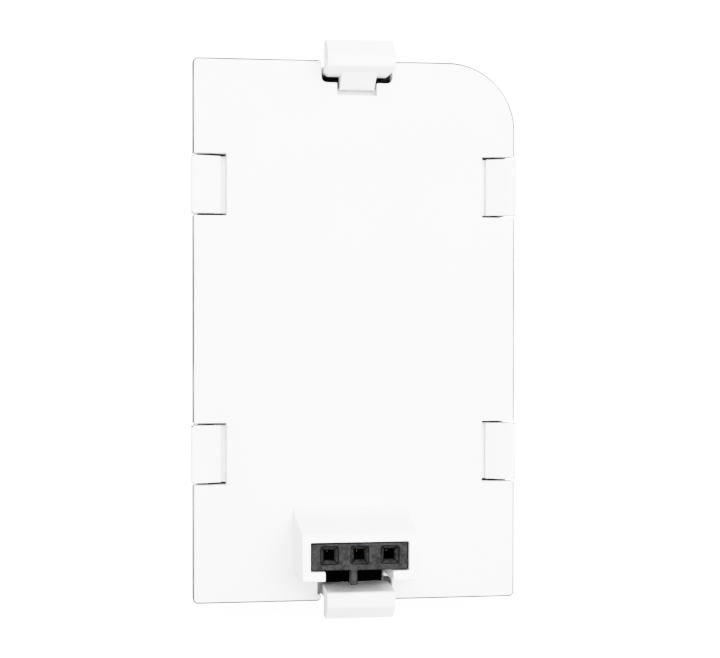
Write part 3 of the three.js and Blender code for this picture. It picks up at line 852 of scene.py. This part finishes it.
class Assembly:
    """A group of pieces that are built and dressed together."""

    @staticmethod
    def keep(
        piece: bpy.types.Object,
        finish: bpy.types.Material,
        slot: Slot,
        body: Body = Body.CASE,
        nodes: Sequence[str] = (),
    ) -> bpy.types.Object:
        """Dresses a piece, puts it on its body and hides the CAD nodes that it replaces.

        Args:
            piece: The finished object.
            finish: Its material.
            slot: The record's slot for it; not used.
            body: The body that it rides on.
            nodes: The CAD nodes that it replaces.

        Returns:
            The same piece.
        """
        piece.data.materials.clear()
        piece.data.materials.append(finish)
        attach(piece, body.value)
        if nodes:
            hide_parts(*nodes)
        LOG.info("%s: %d faces on %s", piece.name, len(piece.data.polygons), body.value)
        return piece


# ---- Sub-assemblies ----


@dataclass
class Shells(Assembly):
    """The two shells of the case and the clips moulded with them.

    Attributes:
        plate_half: Half the cover plate's width and height.
        large_corner: Radius of the outline's large corner.
        small_corner: Radius of its other corners, where the tray follows it.
        rim_band: How near the plate's outline a rounded edge counts as its rim.
        rim_edge: Radius of the plate's outline.
        edge: Radius of an ordinary moulded edge.
        clip_edge: Radius of the clips' free edges.
        clip_free: How far from the middle those edges begin.
        clip_foot_edge: Radius of a clip's other edges.
        shroud_x: The shroud's middle across the module.
        shroud_wall: How far from that middle its outer walls begin.
        shroud_edge: Radius of the shroud's lower outer edges.
        shroud_foot: Height below which those edges lie.
        shoulder_edge: Radius of its other outer edges.
        tray_edge: Radius of the tray's edges.
        notch: Middle and half width of the notches that the clips pass through.
        notch_edge: Radius of the notches' outer corners.
        case_wall: How far inside the plate's outline the case's inside begins.
        inside_from: Depth where it begins.
        inside_to: Depth where it ends.
    """

    plate_half: tuple[float, float] = (14.0 * MM, 23.25 * MM)
    large_corner: float = 5.9 * MM
    small_corner: float = 1.6 * MM
    rim_band: float = 0.16 * MM
    rim_edge: float = 0.14 * MM
    edge: float = 0.09 * MM
    clip_edge: float = 0.12 * MM
    clip_free: float = 22.4 * MM
    clip_foot_edge: float = 0.03 * MM
    shroud_x: float = -0.4 * MM
    shroud_wall: float = 4.6 * MM
    shroud_edge: float = 0.4 * MM
    shroud_foot: float = -20.0 * MM
    shoulder_edge: float = 0.135 * MM
    tray_edge: float = 0.12 * MM
    notch: tuple[float, float] = (0.1 * MM, 3.08 * MM)
    notch_edge: float = 0.4 * MM
    case_wall: float = 0.6 * MM
    inside_from: float = 0.3 * MM
    inside_to: float = 6.7 * MM

    def build(self, finish: bpy.types.Material) -> None:
        """Builds the cover, the tray, the four snap arms and the latch."""
        self.shell(
            "front_cover", "cover_moulding", Body.CASE, finish, self.cover_radius, self.plate_rim, False
        )
        self.shell("rear_tray", "tray_moulding", Body.CASE, finish, self.tray_radius, self.clip_rim)
        arms = {
            "snap_arm_left_upper": Body.SNAP_LEFT_UPPER,
            "snap_arm_left_lower": Body.SNAP_LEFT_LOWER,
            "snap_arm_right_upper": Body.SNAP_RIGHT_UPPER,
            "snap_arm_right_lower": Body.SNAP_RIGHT_LOWER,
        }
        for node, body in arms.items():
            round_arm = even_radius(self.edge)
            self.shell(node, f"{node}_moulding", body, finish, round_arm, self.snap_rim)
        self.shell("release_latch", "latch_moulding", Body.LATCH, finish, self.clip_radius, self.clip_rim)

    def shell(
        self,
        node: str,
        name: str,
        body: Body,
        finish: bpy.types.Material,
        radius_of: EdgeRadius,
        rim_of: RimMask,
        clamped: bool = True,
    ) -> None:
        """Builds one moulding over its CAD node."""
        piece = round_edges(name, node_mesh(node), radius_of, rim_of, clamped=clamped)
        # Faces inside the case are marked here for the white finish's painted shade.
        inside = piece.data.attributes.new("inside", "FLOAT", "FACE")
        for face in piece.data.polygons:
            inside.data[face.index].value = self.enclosed(face.center)
        self.keep(piece, finish, Slot.WHITE, body, [node])

    def enclosed(self, middle: Vector) -> float:
        """Tells whether a face lies inside the case, behind the plate's front skin."""
        within = self.beyond_outline(middle) < -self.case_wall
        return float(within and self.inside_from < middle.y < self.inside_to)

    def beyond_outline(self, middle: Vector) -> float:
        """Measures how far a point lies outside the module's outline, which is negative inside it.

        Args:
            middle: The point, of which only the place across and up counts.

        Returns:
            The distance to the outline, with its large and its small corners rounded.
        """
        radius = self.large_corner if middle.x > 0 and middle.z > 0 else self.small_corner
        out_x = abs(middle.x) - self.plate_half[0] + radius
        out_z = abs(middle.z) - self.plate_half[1] + radius
        return math.hypot(max(out_x, 0.0), max(out_z, 0.0)) + min(max(out_x, out_z), 0.0) - radius

    def cover_radius(self, middle: Vector, way: Vector) -> float:
        """Gives the shroud's outer edges, the notches' corners and the outline their own radii."""
        on_wall = abs(middle.x - self.shroud_x) > self.shroud_wall
        along_y = abs(way.y) > 0.8
        if middle.y < -self.edge and on_wall and along_y:
            return self.shroud_edge if middle.z < self.shroud_foot else self.shoulder_edge
        beside_notch = abs(abs(middle.x - self.notch[0]) - self.notch[1]) < self.edge
        if along_y and beside_notch and abs(middle.z) > self.plate_half[1] - self.edge:
            return self.notch_edge
        return self.rim_edge if self.plate_rim(middle) and middle.y < self.edge else self.edge

    def tray_radius(self, middle: Vector, way: Vector) -> float:
        """Gives the hook its clip radius and the case its own."""
        return self.clip_radius(middle, way) if middle.y < 0 else self.tray_edge

    def clip_radius(self, middle: Vector, way: Vector) -> float:
        """Rounds a clip fully where it stands past its notch, and barely at its tight foot."""
        return self.clip_edge if middle.y < 0 and abs(middle.z) > self.clip_free else self.clip_foot_edge

    def plate_rim(self, middle: Vector) -> float:
        """Marks the plate's outline."""
        return float(self.beyond_outline(middle) > -self.rim_band)

    def snap_rim(self, middle: Vector) -> float:
        """Marks the outer edge of a snap arm's head."""
        return float(abs(middle.x) > self.plate_half[0] - self.rim_band and middle.y < self.clip_edge * 2)

    def clip_rim(self, middle: Vector) -> float:
        """Marks the outer edges of a clip where it stands past the plate."""
        return float(middle.y < 0 and abs(middle.z) > self.clip_free)


@dataclass
class Connector(Assembly):
    """The black socket housing and its row of contacts.

    Attributes:
        edge: Edge radius of the housing.
        leaf_thickness: Thickness of a contact's leaves.
        leaf_width: Their width.
        pinch: How far each leaf bows towards the pin.
        leaf_root: Where the leaves leave the base, as a share of the contact's length.
        leaf_waist: Where they bow in most.
        leaf_tip: Where they end.
        leaf_steps: Segments along a leaf.
        base_span: The base's start and end, as shares of the length.
        tail_span: The tail's.
        tail_size: The tail's width and height.
        solder_radius: Radius of the solder round each tail.
        solder_rise: Height of that solder.
        solder_seed: Seed of its small differences.
        board_back: Depth of the board's back face.
    """

    edge: float = 0.07 * MM
    leaf_thickness: float = 0.12 * MM
    leaf_width: float = 0.56 * MM
    pinch: float = 0.1 * MM
    leaf_root: float = 0.72
    leaf_waist: float = 0.4
    leaf_tip: float = 0.25
    leaf_steps: int = 14
    base_span: tuple[float, float] = (0.70, 0.76)
    tail_span: tuple[float, float] = (0.75, 1.0)
    tail_size: tuple[float, float] = (0.44 * MM, 0.28 * MM)
    solder_radius: float = 0.62 * MM
    solder_rise: float = 0.5 * MM
    solder_seed: int = 7
    board_back: float = 4.0 * MM

    def build(
        self, plastic: bpy.types.Material, plating: bpy.types.Material, solder: bpy.types.Material
    ) -> None:
        """Builds the housing, the contacts and the solder on their tails."""
        housing = round_edges(
            "socket_moulding", node_mesh("socket_housing"), even_radius(self.edge), self.every_rim, 2, False
        )
        self.keep(housing, plastic, Slot.BLACK, nodes=["socket_housing"])
        nodes = ["contact_positive", "contact_sense", "contact_negative"]
        low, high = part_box(nodes[0])
        middle = (low + high) / 2
        pitch = (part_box(nodes[-1])[0].x - low.x) / (len(nodes) - 1)
        row = run_geometry_nodes(
            "socket_contacts",
            self.contact_tree(plating),
            {
                "Count": len(nodes),
                "Pitch": pitch,
                "Reach": (high.x - low.x) / 2,
                "Length": high.y - low.y,
                "Leaf Thickness": self.leaf_thickness,
                "Leaf Width": self.leaf_width,
                "Pinch": self.pinch,
                "Start": (middle.x, low.y, middle.z),
            },
        )
        self.keep(row, plating, Slot.CONTACT, nodes=nodes)
        joints = run_geometry_nodes(
            "tail_solder",
            solder_tree(solder),
            {
                "Count": len(nodes),
                "Pitch": pitch,
                "Radius": self.solder_radius,
                "Rise": self.solder_rise,
                "Seed": self.solder_seed,
                "Start": (middle.x, self.board_back, middle.z),
            },
        )
        self.keep(joints, solder, Slot.NICKEL)

    @staticmethod
    def every_rim(middle: Vector) -> float:
        """Marks every rounded edge of the housing, for the black finish's painted shade."""
        return 1.0

    def contact_tree(self, plating: bpy.types.Material) -> bpy.types.NodeTree:
        """Builds the tree that makes one contact and repeats it along a row."""
        takes = (
            Port("Count", "NodeSocketInt", 3),
            Port("Pitch"),
            Port("Reach"),
            Port("Length"),
            Port("Leaf Thickness"),
            Port("Leaf Width"),
            Port("Pinch"),
            Port("Start", VECTOR),
        )
        graph, start, end = new_group("contact_row", "GeometryNodeTree", takes, (Port("Geometry", GEOMETRY),))
        given = start.outputs
        root = graph.math("MULTIPLY", given["Length"], self.leaf_root)
        waist = graph.math("MULTIPLY", given["Length"], self.leaf_waist)
        tip = graph.math("MULTIPLY", given["Length"], self.leaf_tip)
        inner = graph.math("SUBTRACT", given["Reach"], graph.math("MULTIPLY", given["Leaf Thickness"], 0.5))
        bowed = graph.math("SUBTRACT", inner, graph.math("MULTIPLY", given["Pinch"], 2.0))
        joined = graph.node("GeometryNodeJoinGeometry")
        section = graph.node(
            "GeometryNodeCurvePrimitiveQuadrilateral",
            {"Width": given["Leaf Thickness"], "Height": given["Leaf Width"]},
        )
        for side in (-1.0, 1.0):
            outer = graph.math("MULTIPLY", inner, side)
            foot = graph.node("ShaderNodeCombineXYZ", {"X": outer, "Y": root})
            bow = graph.node("ShaderNodeCombineXYZ", {"X": graph.math("MULTIPLY", bowed, side), "Y": waist})
            mouth = graph.node("ShaderNodeCombineXYZ", {"X": outer, "Y": tip})
            line = graph.node(
                "GeometryNodeCurveQuadraticBezier",
                {
                    "Resolution": self.leaf_steps,
                    "Start": foot.outputs[0],
                    "Middle": bow.outputs[0],
                    "End": mouth.outputs[0],
                },
            )
            leaf = graph.node(
                "GeometryNodeCurveToMesh",
                {"Curve": line.outputs[0], "Profile Curve": section.outputs[0], "Fill Caps": True},
            )
            graph.tree.links.new(leaf.outputs[0], joined.inputs[0])
        wide = graph.math("MULTIPLY", given["Reach"], 2.0)
        base_and_tail = (
            (wide, given["Leaf Width"], *self.base_span),
            (*self.tail_size, *self.tail_span),
        )
        for across, tall, front, back in base_and_tail:
            long = graph.math("MULTIPLY", given["Length"], back - front)
            size = graph.node("ShaderNodeCombineXYZ", {"X": across, "Y": long, "Z": tall})
            block = graph.node("GeometryNodeMeshCube", {"Size": size.outputs[0]})
            middle = graph.math("MULTIPLY", given["Length"], (front + back) / 2)
            shift = graph.node("ShaderNodeCombineXYZ", {"Y": middle})
            moved = graph.node(
                "GeometryNodeTransform", {"Geometry": block.outputs[0], "Translation": shift.outputs[0]}
            )
            graph.tree.links.new(moved.outputs[0], joined.inputs[0])
        repeat_along_x(graph, start, end, joined.outputs[0], plating)
        return graph.tree


def repeat_along_x(
    graph: Graph,
    start: bpy.types.Node,
    end: bpy.types.Node,
    piece: bpy.types.NodeSocket,
    finish: bpy.types.Material,
    scale: bpy.types.NodeSocket | None = None,
) -> None:
    """Ends a geometry tree: repeats a piece along X from its Start, Count and Pitch inputs.

    Args:
        graph: The tree's graph.
        start: Its input node.
        end: Its output node.
        piece: The geometry to repeat.
        finish: The material that it is set to.
        scale: The size of each copy, if they differ.
    """
    step = graph.node("ShaderNodeCombineXYZ", {"X": start.outputs["Pitch"]})
    given = start.outputs
    row = graph.node(
        "GeometryNodeMeshLine",
        {"Count": given["Count"], "Start Location": given["Start"], "Offset": step.outputs[0]},
    )
    placed = graph.node("GeometryNodeInstanceOnPoints", {"Points": row.outputs[0], "Instance": piece})
    if scale:
        graph.tree.links.new(scale, placed.inputs["Scale"])
    real = graph.node("GeometryNodeRealizeInstances", {"Geometry": placed.outputs[0]})
    dressed = graph.node("GeometryNodeSetMaterial", {"Geometry": real.outputs[0], "Material": finish})
    graph.tree.links.new(dressed.outputs[0], end.inputs[0])


SOLDER_SIDES = 24
SOLDER_STEPS = 6
SOLDER_NECK = 0.5
SOLDER_HOLLOW = -0.9
SOLDER_SIZES = (0.88, 1.06)


def solder_tree(finish: bpy.types.Material) -> bpy.types.NodeTree:
    """Builds the tree that makes a row of solder cones, each a little different in size."""
    takes = (
        Port("Count", "NodeSocketInt", 3),
        Port("Pitch"),
        Port("Radius"),
        Port("Rise"),
        Port("Seed", "NodeSocketInt", 7),
        Port("Start", VECTOR),
    )
    graph, start, end = new_group("solder_row", "GeometryNodeTree", takes, (Port("Geometry", GEOMETRY),))
    given = start.outputs
    neck = graph.math("MULTIPLY", given["Radius"], SOLDER_NECK)
    cone = graph.node(
        "GeometryNodeMeshCone",
        {
            "Vertices": SOLDER_SIDES,
            "Side Segments": SOLDER_STEPS,
            "Radius Top": neck,
            "Radius Bottom": given["Radius"],
            "Depth": given["Rise"],
        },
    )
    place = graph.node("GeometryNodeInputPosition")
    parts = graph.node("ShaderNodeSeparateXYZ", {0: place.outputs[0]})
    along = graph.math("DIVIDE", parts.outputs["Z"], given["Rise"])
    belly = graph.math("MULTIPLY", along, graph.math("SUBTRACT", 1.0, along))
    hollow = graph.math("MULTIPLY", belly, SOLDER_HOLLOW)
    pull = graph.node("ShaderNodeCombineXYZ", {"X": parts.outputs["X"], "Y": parts.outputs["Y"]})
    drawn = graph.node("ShaderNodeVectorMath", {0: pull.outputs[0], "Scale": hollow}, operation="SCALE")
    waisted = graph.node("GeometryNodeSetPosition", {"Geometry": cone.outputs[0], "Offset": drawn.outputs[0]})
    turned = graph.node(
        "GeometryNodeTransform", {"Geometry": waisted.outputs[0], "Rotation": (-math.pi / 2, 0.0, 0.0)}
    )
    smooth = graph.node("GeometryNodeSetShadeSmooth", {"Geometry": turned.outputs[0]})
    least, most = SOLDER_SIZES
    differ = graph.node("FunctionNodeRandomValue", {2: least, 3: most, "Seed": given["Seed"]})
    repeat_along_x(graph, start, end, smooth.outputs[0], finish, differ.outputs[1])
    return graph.tree


@dataclass(frozen=True)
class LeadedPackage:
    """A chip with square leads on its top and bottom sides.

    Attributes:
        node: The CAD node.
        leads: Leads on each side.
        pitch: Their spacing.
        overhang: How far they reach past the body.
    """

    node: str
    leads: int
    pitch: float
    overhang: float = 0.5 * MM


@dataclass
class Electronics(Assembly):
    """The protection board and what is soldered to it.

    Attributes:
        edge: Edge radius of the board and the parts.
        lead_width: Width of a lead.
        lead_thickness: Its thickness.
        lead_rise: How far up a chip its leads come out, as a share of its height.
        lead_round: A lead's edge radius, as a share of its thickness.
        cap_share: How much of a chip part's width each end cap takes.
        cap_cover: How much of that cap hides the body's end.
        packages: The leaded chips.
    """

    edge: float = 0.04 * MM
    lead_width: float = 0.28 * MM
    lead_thickness: float = 0.12 * MM
    lead_rise: float = 0.5
    lead_round: float = 0.2
    cap_share: float = 0.18
    cap_cover: float = 0.8
    packages: tuple[LeadedPackage, ...] = (
        LeadedPackage("protection_chip", 3, 0.95 * MM),
        LeadedPackage("switch_transistors", 4, 0.65 * MM),
    )

    def build(self, materials: dict[str, bpy.types.Material]) -> None:
        """Builds the board and its parts."""
        laminate = round_edges(
            "protection_board_laminate", node_mesh("protection_board"), even_radius(self.edge), unmarked, 2
        )
        self.keep(laminate, materials["board"], Slot.BOARD, nodes=["protection_board"])
        for package in self.packages:
            self.leaded(package, materials["epoxy"], materials["solder"])
        for node in ("sense_resistor", "thermistor"):
            self.capped(node, materials["epoxy"], materials["solder"], Slot.PACKAGE)
        for node in ("fuse", "filter_capacitor"):
            self.capped(node, materials["ceramic"], materials["solder"], Slot.CERAMIC)

    def leaded(self, package: LeadedPackage, epoxy: bpy.types.Material, metal: bpy.types.Material) -> None:
        """Builds a chip's moulded body and its bent leads."""
        low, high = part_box(package.node)
        body_low = Vector((low.x, low.y, low.z + package.overhang))
        body_high = Vector((high.x, high.y - self.lead_thickness, high.z - package.overhang))
        body = round_edges(
            f"{package.node}_body", blocks_shape((body_low, body_high)), even_radius(self.edge * 2), unmarked
        )
        self.keep(body, epoxy, Slot.PACKAGE, nodes=[package.node])
        middle = (low + high) / 2
        rise = (high.y - low.y) * self.lead_rise
        spans = []
        for n in range(package.leads):
            x = middle.x + (n - (package.leads - 1) / 2) * package.pitch
            left, right = x - self.lead_width / 2, x + self.lead_width / 2
            for edge_z, body_z in ((low.z, body_low.z), (high.z, body_high.z)):
                inward = math.copysign(self.lead_thickness, body_z - edge_z)
                knee = (edge_z + body_z) / 2
                for y0, y1, z0, z1 in (
                    (high.y - self.lead_thickness, high.y, edge_z, knee + inward),
                    (high.y - rise, high.y - self.lead_thickness, knee, knee + inward),
                    (high.y - rise - self.lead_thickness, high.y - rise, knee, body_z + inward),
                ):
                    spans.append((Vector((left, y0, min(z0, z1))), Vector((right, y1, max(z0, z1)))))
        soft = even_radius(self.lead_thickness * self.lead_round)
        leads = round_edges(f"{package.node}_leads", blocks_shape(*spans), soft, unmarked, 2)
        self.keep(leads, metal, Slot.NICKEL)

    def capped(
        self, node: str, finish: bpy.types.Material, metal: bpy.types.Material, slot: Slot
    ) -> None:
        """Builds a chip part's body and its two soldered end caps."""
        low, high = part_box(node)
        cap = (high.x - low.x) * self.cap_share
        set_in = Vector((cap * self.cap_cover, self.edge, self.edge))
        body = round_edges(
            f"{node}_body", blocks_shape((low + set_in, high - set_in)), even_radius(self.edge), unmarked, 2
        )
        self.keep(body, finish, slot, nodes=[node])
        left = (low, Vector((low.x + cap, high.y, high.z)))
        right = (Vector((high.x - cap, low.y, low.z)), high)
        caps = round_edges(f"{node}_caps", blocks_shape(left, right), even_radius(self.edge * 1.5), unmarked)
        self.keep(caps, metal, Slot.NICKEL)


@dataclass
class CellPack(Assembly):
    """The pouch cell, its tabs, the film over them and the foam that holds it.

    Attributes:
        crown: How far the pouch's faces swell past its edges.
        terrace: Height of the sealed edge that the tabs leave by.
        terrace_depth: Thickness of that edge.
        pouch_square: Squareness of the pouch's section.
        pouch_end: Share of the pouch's length that each soft end takes.
        pouch_pinch: How much thinner and narrower the pouch is at its very ends.
        pad_square: Squareness of a foam pad's section.
        pad_end: Share of a pad's length that each soft end takes.
        pad_pinch: How much thinner a pad is at its very ends.
        rings: Rings along the pouch.
        points: Points round each ring.
        tab_edge: Edge radius of the tabs.
        film_edge: Edge radius of the film.
        foam_fill: How full each foam pad counts; not used.
    """

    crown: float = 0.12 * MM
    terrace: float = 2.1 * MM
    terrace_depth: float = 0.3 * MM
    pouch_square: float = 9.0
    pouch_end: float = 1 / 16
    pouch_pinch: tuple[float, float] = (0.45, 0.015)
    pad_square: float = 12.0
    pad_end: float = 1 / 12
    pad_pinch: float = 0.2
    rings: int = 36
    points: int = 64
    tab_edge: float = 0.03 * MM
    film_edge: float = 0.02 * MM
    foam_fill: float = 0.9

    def build(self, materials: dict[str, bpy.types.Material]) -> None:
        """Builds the cell and its packing."""
        self.keep(self.pouch(), materials["foil"], Slot.POUCH, nodes=["battery_cell"])
        for node in ("cell_tab_positive", "cell_tab_negative"):
            tab = round_edges(f"{node}_strip", node_mesh(node), even_radius(self.tab_edge), unmarked, 2)
            self.keep(tab, materials["nickel"], Slot.NICKEL, nodes=[node])
        film = round_edges(
            "insulating_tape_film", node_mesh("insulating_tape"), even_radius(self.film_edge), unmarked, 2
        )
        self.keep(film, materials["amber"], Slot.TAPE, nodes=["insulating_tape"])
        for node in ("front_foam_pad", "rear_foam_pad", "end_foam_pad"):
            pad = self.keep(self.foam(node), materials["foam"], Slot.FOAM, nodes=[node])

    def pouch(self) -> bpy.types.Object:
        """Builds the swollen pouch with its sealed terrace."""
        low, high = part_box("battery_cell")
        bottom = low.z + self.terrace
        middle = (low + high) / 2
        half = (high - low) / 2
        rings = []
        for n in range(self.rings + 1):
            along = n / self.rings
            ease = end_ease(along, self.pouch_end)
            thinner, narrower = (1 - pinch * (1 - ease) for pinch in self.pouch_pinch)
            swell = self.crown * math.sin(math.pi * along) / half.y
            deep = (half.y - self.crown) * thinner
            z = bottom + (high.z - bottom) * along
            ring = []
            for x, y in rounded_section(half.x * narrower, deep, self.pouch_square, self.points):
                lift = 1 + swell * math.cos(math.pi / 2 * x / half.x)
                ring.append(Vector((middle.x + x, middle.y + y * lift, z)))
            rings.append(ring)
        shape = rings_to_shape(rings)
        seal_y = middle.y - self.terrace_depth * 2
        inset = self.terrace_depth * 2
        seal = Vector((half.x - inset, self.terrace_depth / 2, (bottom - low.z + inset) / 2))
        centre = Vector((middle.x, seal_y, low.z + seal.z))
        size = Matrix.Diagonal((*(seal * 2), 1.0))
        bmesh.ops.create_cube(shape, size=1.0, matrix=Matrix.Translation(centre) @ size)
        return new_piece("pouch_cell_foil", shape)

    def foam(self, node: str) -> bpy.types.Object:
        """Builds one foam pad with soft, slightly pillowed ends."""
        low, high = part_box(node)
        middle = (low + high) / 2
        half = (high - low) / 2
        rings = []
        for n in range(self.rings + 1):
            along = n / self.rings
            soft = 1 - self.pad_pinch * (1 - end_ease(along, self.pad_end))
            z = low.z + (high.z - low.z) * along
            section = rounded_section(half.x, half.y * soft, self.pad_square, self.points)
            rings.append([Vector((middle.x + x, middle.y + y, z)) for x, y in section])
        return new_piece(f"{node}_cells", rings_to_shape(rings))


def end_ease(along: float, share: float) -> float:
    """Rises from 0 at either end of a length to 1, in a quarter circle.

    Args:
        along: The place along the length, from 0 to 1.
        share: How much of the length each rise takes.

    Returns:
        0 at the ends and 1 past the rise.
    """
    inward = min(1.0, min(along, 1 - along) / share)
    return math.sqrt(1 - (1 - inward) ** 2)


@dataclass
class RearLabel(Assembly):
    """The blank label on the back.

    Attributes:
        edge: Edge radius of the film.
    """

    edge: float = 0.04 * MM

    def build(self, finish: bpy.types.Material) -> None:
        """Builds the label."""
        label = round_edges("blank_label_film", node_mesh("blank_label"), even_radius(self.edge), unmarked, 2)
        self.keep(label, finish, Slot.LABEL, nodes=["blank_label"])


# ---- Studio ----


@dataclass
class Studio:
    """Floor, lights, background and camera.

    Attributes:
        distance: From the camera to the point that it looks at.
        azimuth: The camera's turn about Z, in degrees; 0 looks along +Y.
        elevation: Its height above the horizon, in degrees.
        roll: Its turn about its own line of sight, in degrees.
        lens: Focal length, in millimetres.
        target: The point that it looks at.
        sensor: Width of the camera's sensor, in millimetres.
        tent: Middle strength of the light tent round the object.
        tilt: How the tent's strength grows towards the right, the back and the top.
        white: Strength of the plain white that the camera sees instead of the tent.
        floor_size: Half the floor's side.
        floor_tone: The floor's own grey.
        floor_lift: How far the floor is lifted towards white where the camera sees it.
        key_place: Where the key light hangs.
        key_size: Its side.
        key_power: Its power, in watts.
        gain: How steeply the tone curve rises before it rolls off to white.
        curve_steps: Points along the tone curve.
        curve_bunch: How closely they gather in the darks.
    """

    distance: float = 145.0 * MM
    azimuth: float = -8.4
    elevation: float = 0.69
    roll: float = 0.05
    lens: float = 84.16
    sensor: float = 36.0
    target: tuple[float, float, float] = (0.362 * MM, 0.0, 0.167 * MM)
    tent: float = 0.36
    tilt: tuple[float, float, float] = (0.06, -0.05, 0.05)
    white: float = 1.05
    floor_size: float = 6.0
    floor_tone: float = 0.85
    floor_lift: float = 0.7
    key_place: tuple[float, float, float] = (0.09, -0.50, 0.13)
    key_size: float = 0.45
    key_power: float = 1.12
    gain: float = 4.75
    curve_steps: int = 14
    curve_bunch: float = 1.6

    def build(self) -> None:
        """Sets the whole studio up."""
        self.camera()
        self.background()
        self.floor()
        self.softbox("key_light", self.key_place, self.key_size, self.key_power)
        self.tone()

    def tone(self) -> None:
        """Sets a bright tone curve that rolls off softly to white."""
        view = bpy.context.scene.view_settings
        view.view_transform = "Standard"
        view.use_curve_mapping = True
        line = view.curve_mapping.curves[3]
        top = 1 - math.exp(-self.gain)
        for n in range(1, self.curve_steps):
            light = (n / self.curve_steps) ** self.curve_bunch
            line.points.new(light, (1 - math.exp(-self.gain * light)) / top)
        view.curve_mapping.update()

    def camera(self) -> None:
        """Places the camera."""
        turn, rise = math.radians(self.azimuth), math.radians(self.elevation)
        back = Vector((math.sin(turn) * math.cos(rise), -math.cos(turn) * math.cos(rise), math.sin(rise)))
        data = bpy.data.cameras.new("camera")
        data.lens = self.lens
        data.sensor_width = self.sensor
        data.clip_start = 0.01
        data.clip_end = 20.0
        held = bpy.data.objects.new("camera", data)
        bpy.context.scene.collection.objects.link(held)
        held.location = Vector(self.target) + back * self.distance
        facing = (-back).to_track_quat("-Z", "Y").to_matrix()
        held.rotation_euler = (facing @ Matrix.Rotation(math.radians(self.roll), 3, "Z")).to_euler()
        bpy.context.scene.camera = held

    def background(self) -> None:
        """Sets a light tent, brighter to the upper right, that the camera sees as plain white."""
        world = bpy.data.worlds.new("light_tent")
        world.use_nodes = True
        world.node_tree.nodes.clear()
        graph = Graph(world.node_tree)
        way = graph.node("ShaderNodeTexCoord").outputs["Generated"]
        lean = graph.node("ShaderNodeVectorMath", {0: way, 1: self.tilt}, operation="DOT_PRODUCT")
        glow = graph.math("ADD", lean.outputs["Value"], self.tent)
        seen = graph.node("ShaderNodeBackground", {"Color": WHITE_LIGHT, "Strength": self.white})
        tent = graph.node("ShaderNodeBackground", {"Color": WHITE_LIGHT, "Strength": glow})
        path = graph.node("ShaderNodeLightPath")
        mixed = graph.node(
            "ShaderNodeMixShader",
            {0: path.outputs["Is Camera Ray"], 1: tent.outputs[0], 2: seen.outputs[0]},
        )
        end = graph.node("ShaderNodeOutputWorld")
        graph.tree.links.new(mixed.outputs[0], end.inputs["Surface"])
        bpy.context.scene.world = world

    def floor(self) -> None:
        """Lays a wide pale floor under the lowest clip."""
        shape = bmesh.new()
        bmesh.ops.create_grid(shape, x_segments=1, y_segments=1, size=self.floor_size)
        piece = new_piece("floor", shape)
        for corner in piece.data.vertices:
            corner.co.z = CAD_BOX[0].z
        made = bpy.data.materials.new("pale_floor")
        made.use_nodes = True
        graph = Graph(made.node_tree)
        shader = made.node_tree.nodes["Principled BSDF"]
        shader.inputs["Base Color"].default_value = (*[self.floor_tone] * 3, 1.0)
        shader.inputs["Roughness"].default_value = 1.0
        shader.inputs["Specular IOR Level"].default_value = 0.0
        shader.inputs["Emission Color"].default_value = WHITE_LIGHT
        path = graph.node("ShaderNodeLightPath")
        lift = graph.math("MULTIPLY", path.outputs["Is Camera Ray"], self.floor_lift)
        graph.tree.links.new(lift, shader.inputs["Emission Strength"])
        piece.data.materials.append(made)

    @staticmethod
    def softbox(name: str, place: tuple[float, float, float], size: float, power: float) -> None:
        """Hangs one square soft light that faces the object."""
        data = bpy.data.lights.new(name, "AREA")
        data.size = size
        data.energy = power
        held = bpy.data.objects.new(name, data)
        bpy.context.scene.collection.objects.link(held)
        held.location = place
        held.rotation_euler = (-Vector(place)).to_track_quat("-Z", "Y").to_euler()


def main() -> None:
    """Builds every sub-assembly and the studio."""
    logging.basicConfig(level=logging.INFO, format="%(name)s: %(message)s")
    finishes = {
        "white": WHITE,
        "black": BLACK,
        "gold": GOLD,
        "nickel": NICKEL,
        "solder": SOLDER,
        "board": BOARD,
        "epoxy": EPOXY,
        "ceramic": CERAMIC,
        "foil": FOIL,
        "amber": AMBER,
        "foam": FOAM,
        "label": LABEL_FILM,
    }
    materials = {key: finish.material() for key, finish in finishes.items()}
    Shells().build(materials["white"])
    Connector().build(materials["black"], materials["gold"], materials["solder"])
    Electronics().build(materials)
    CellPack().build(materials)
    RearLabel().build(materials["label"])
    Studio().build()


if __name__ == "__main__":
    main()
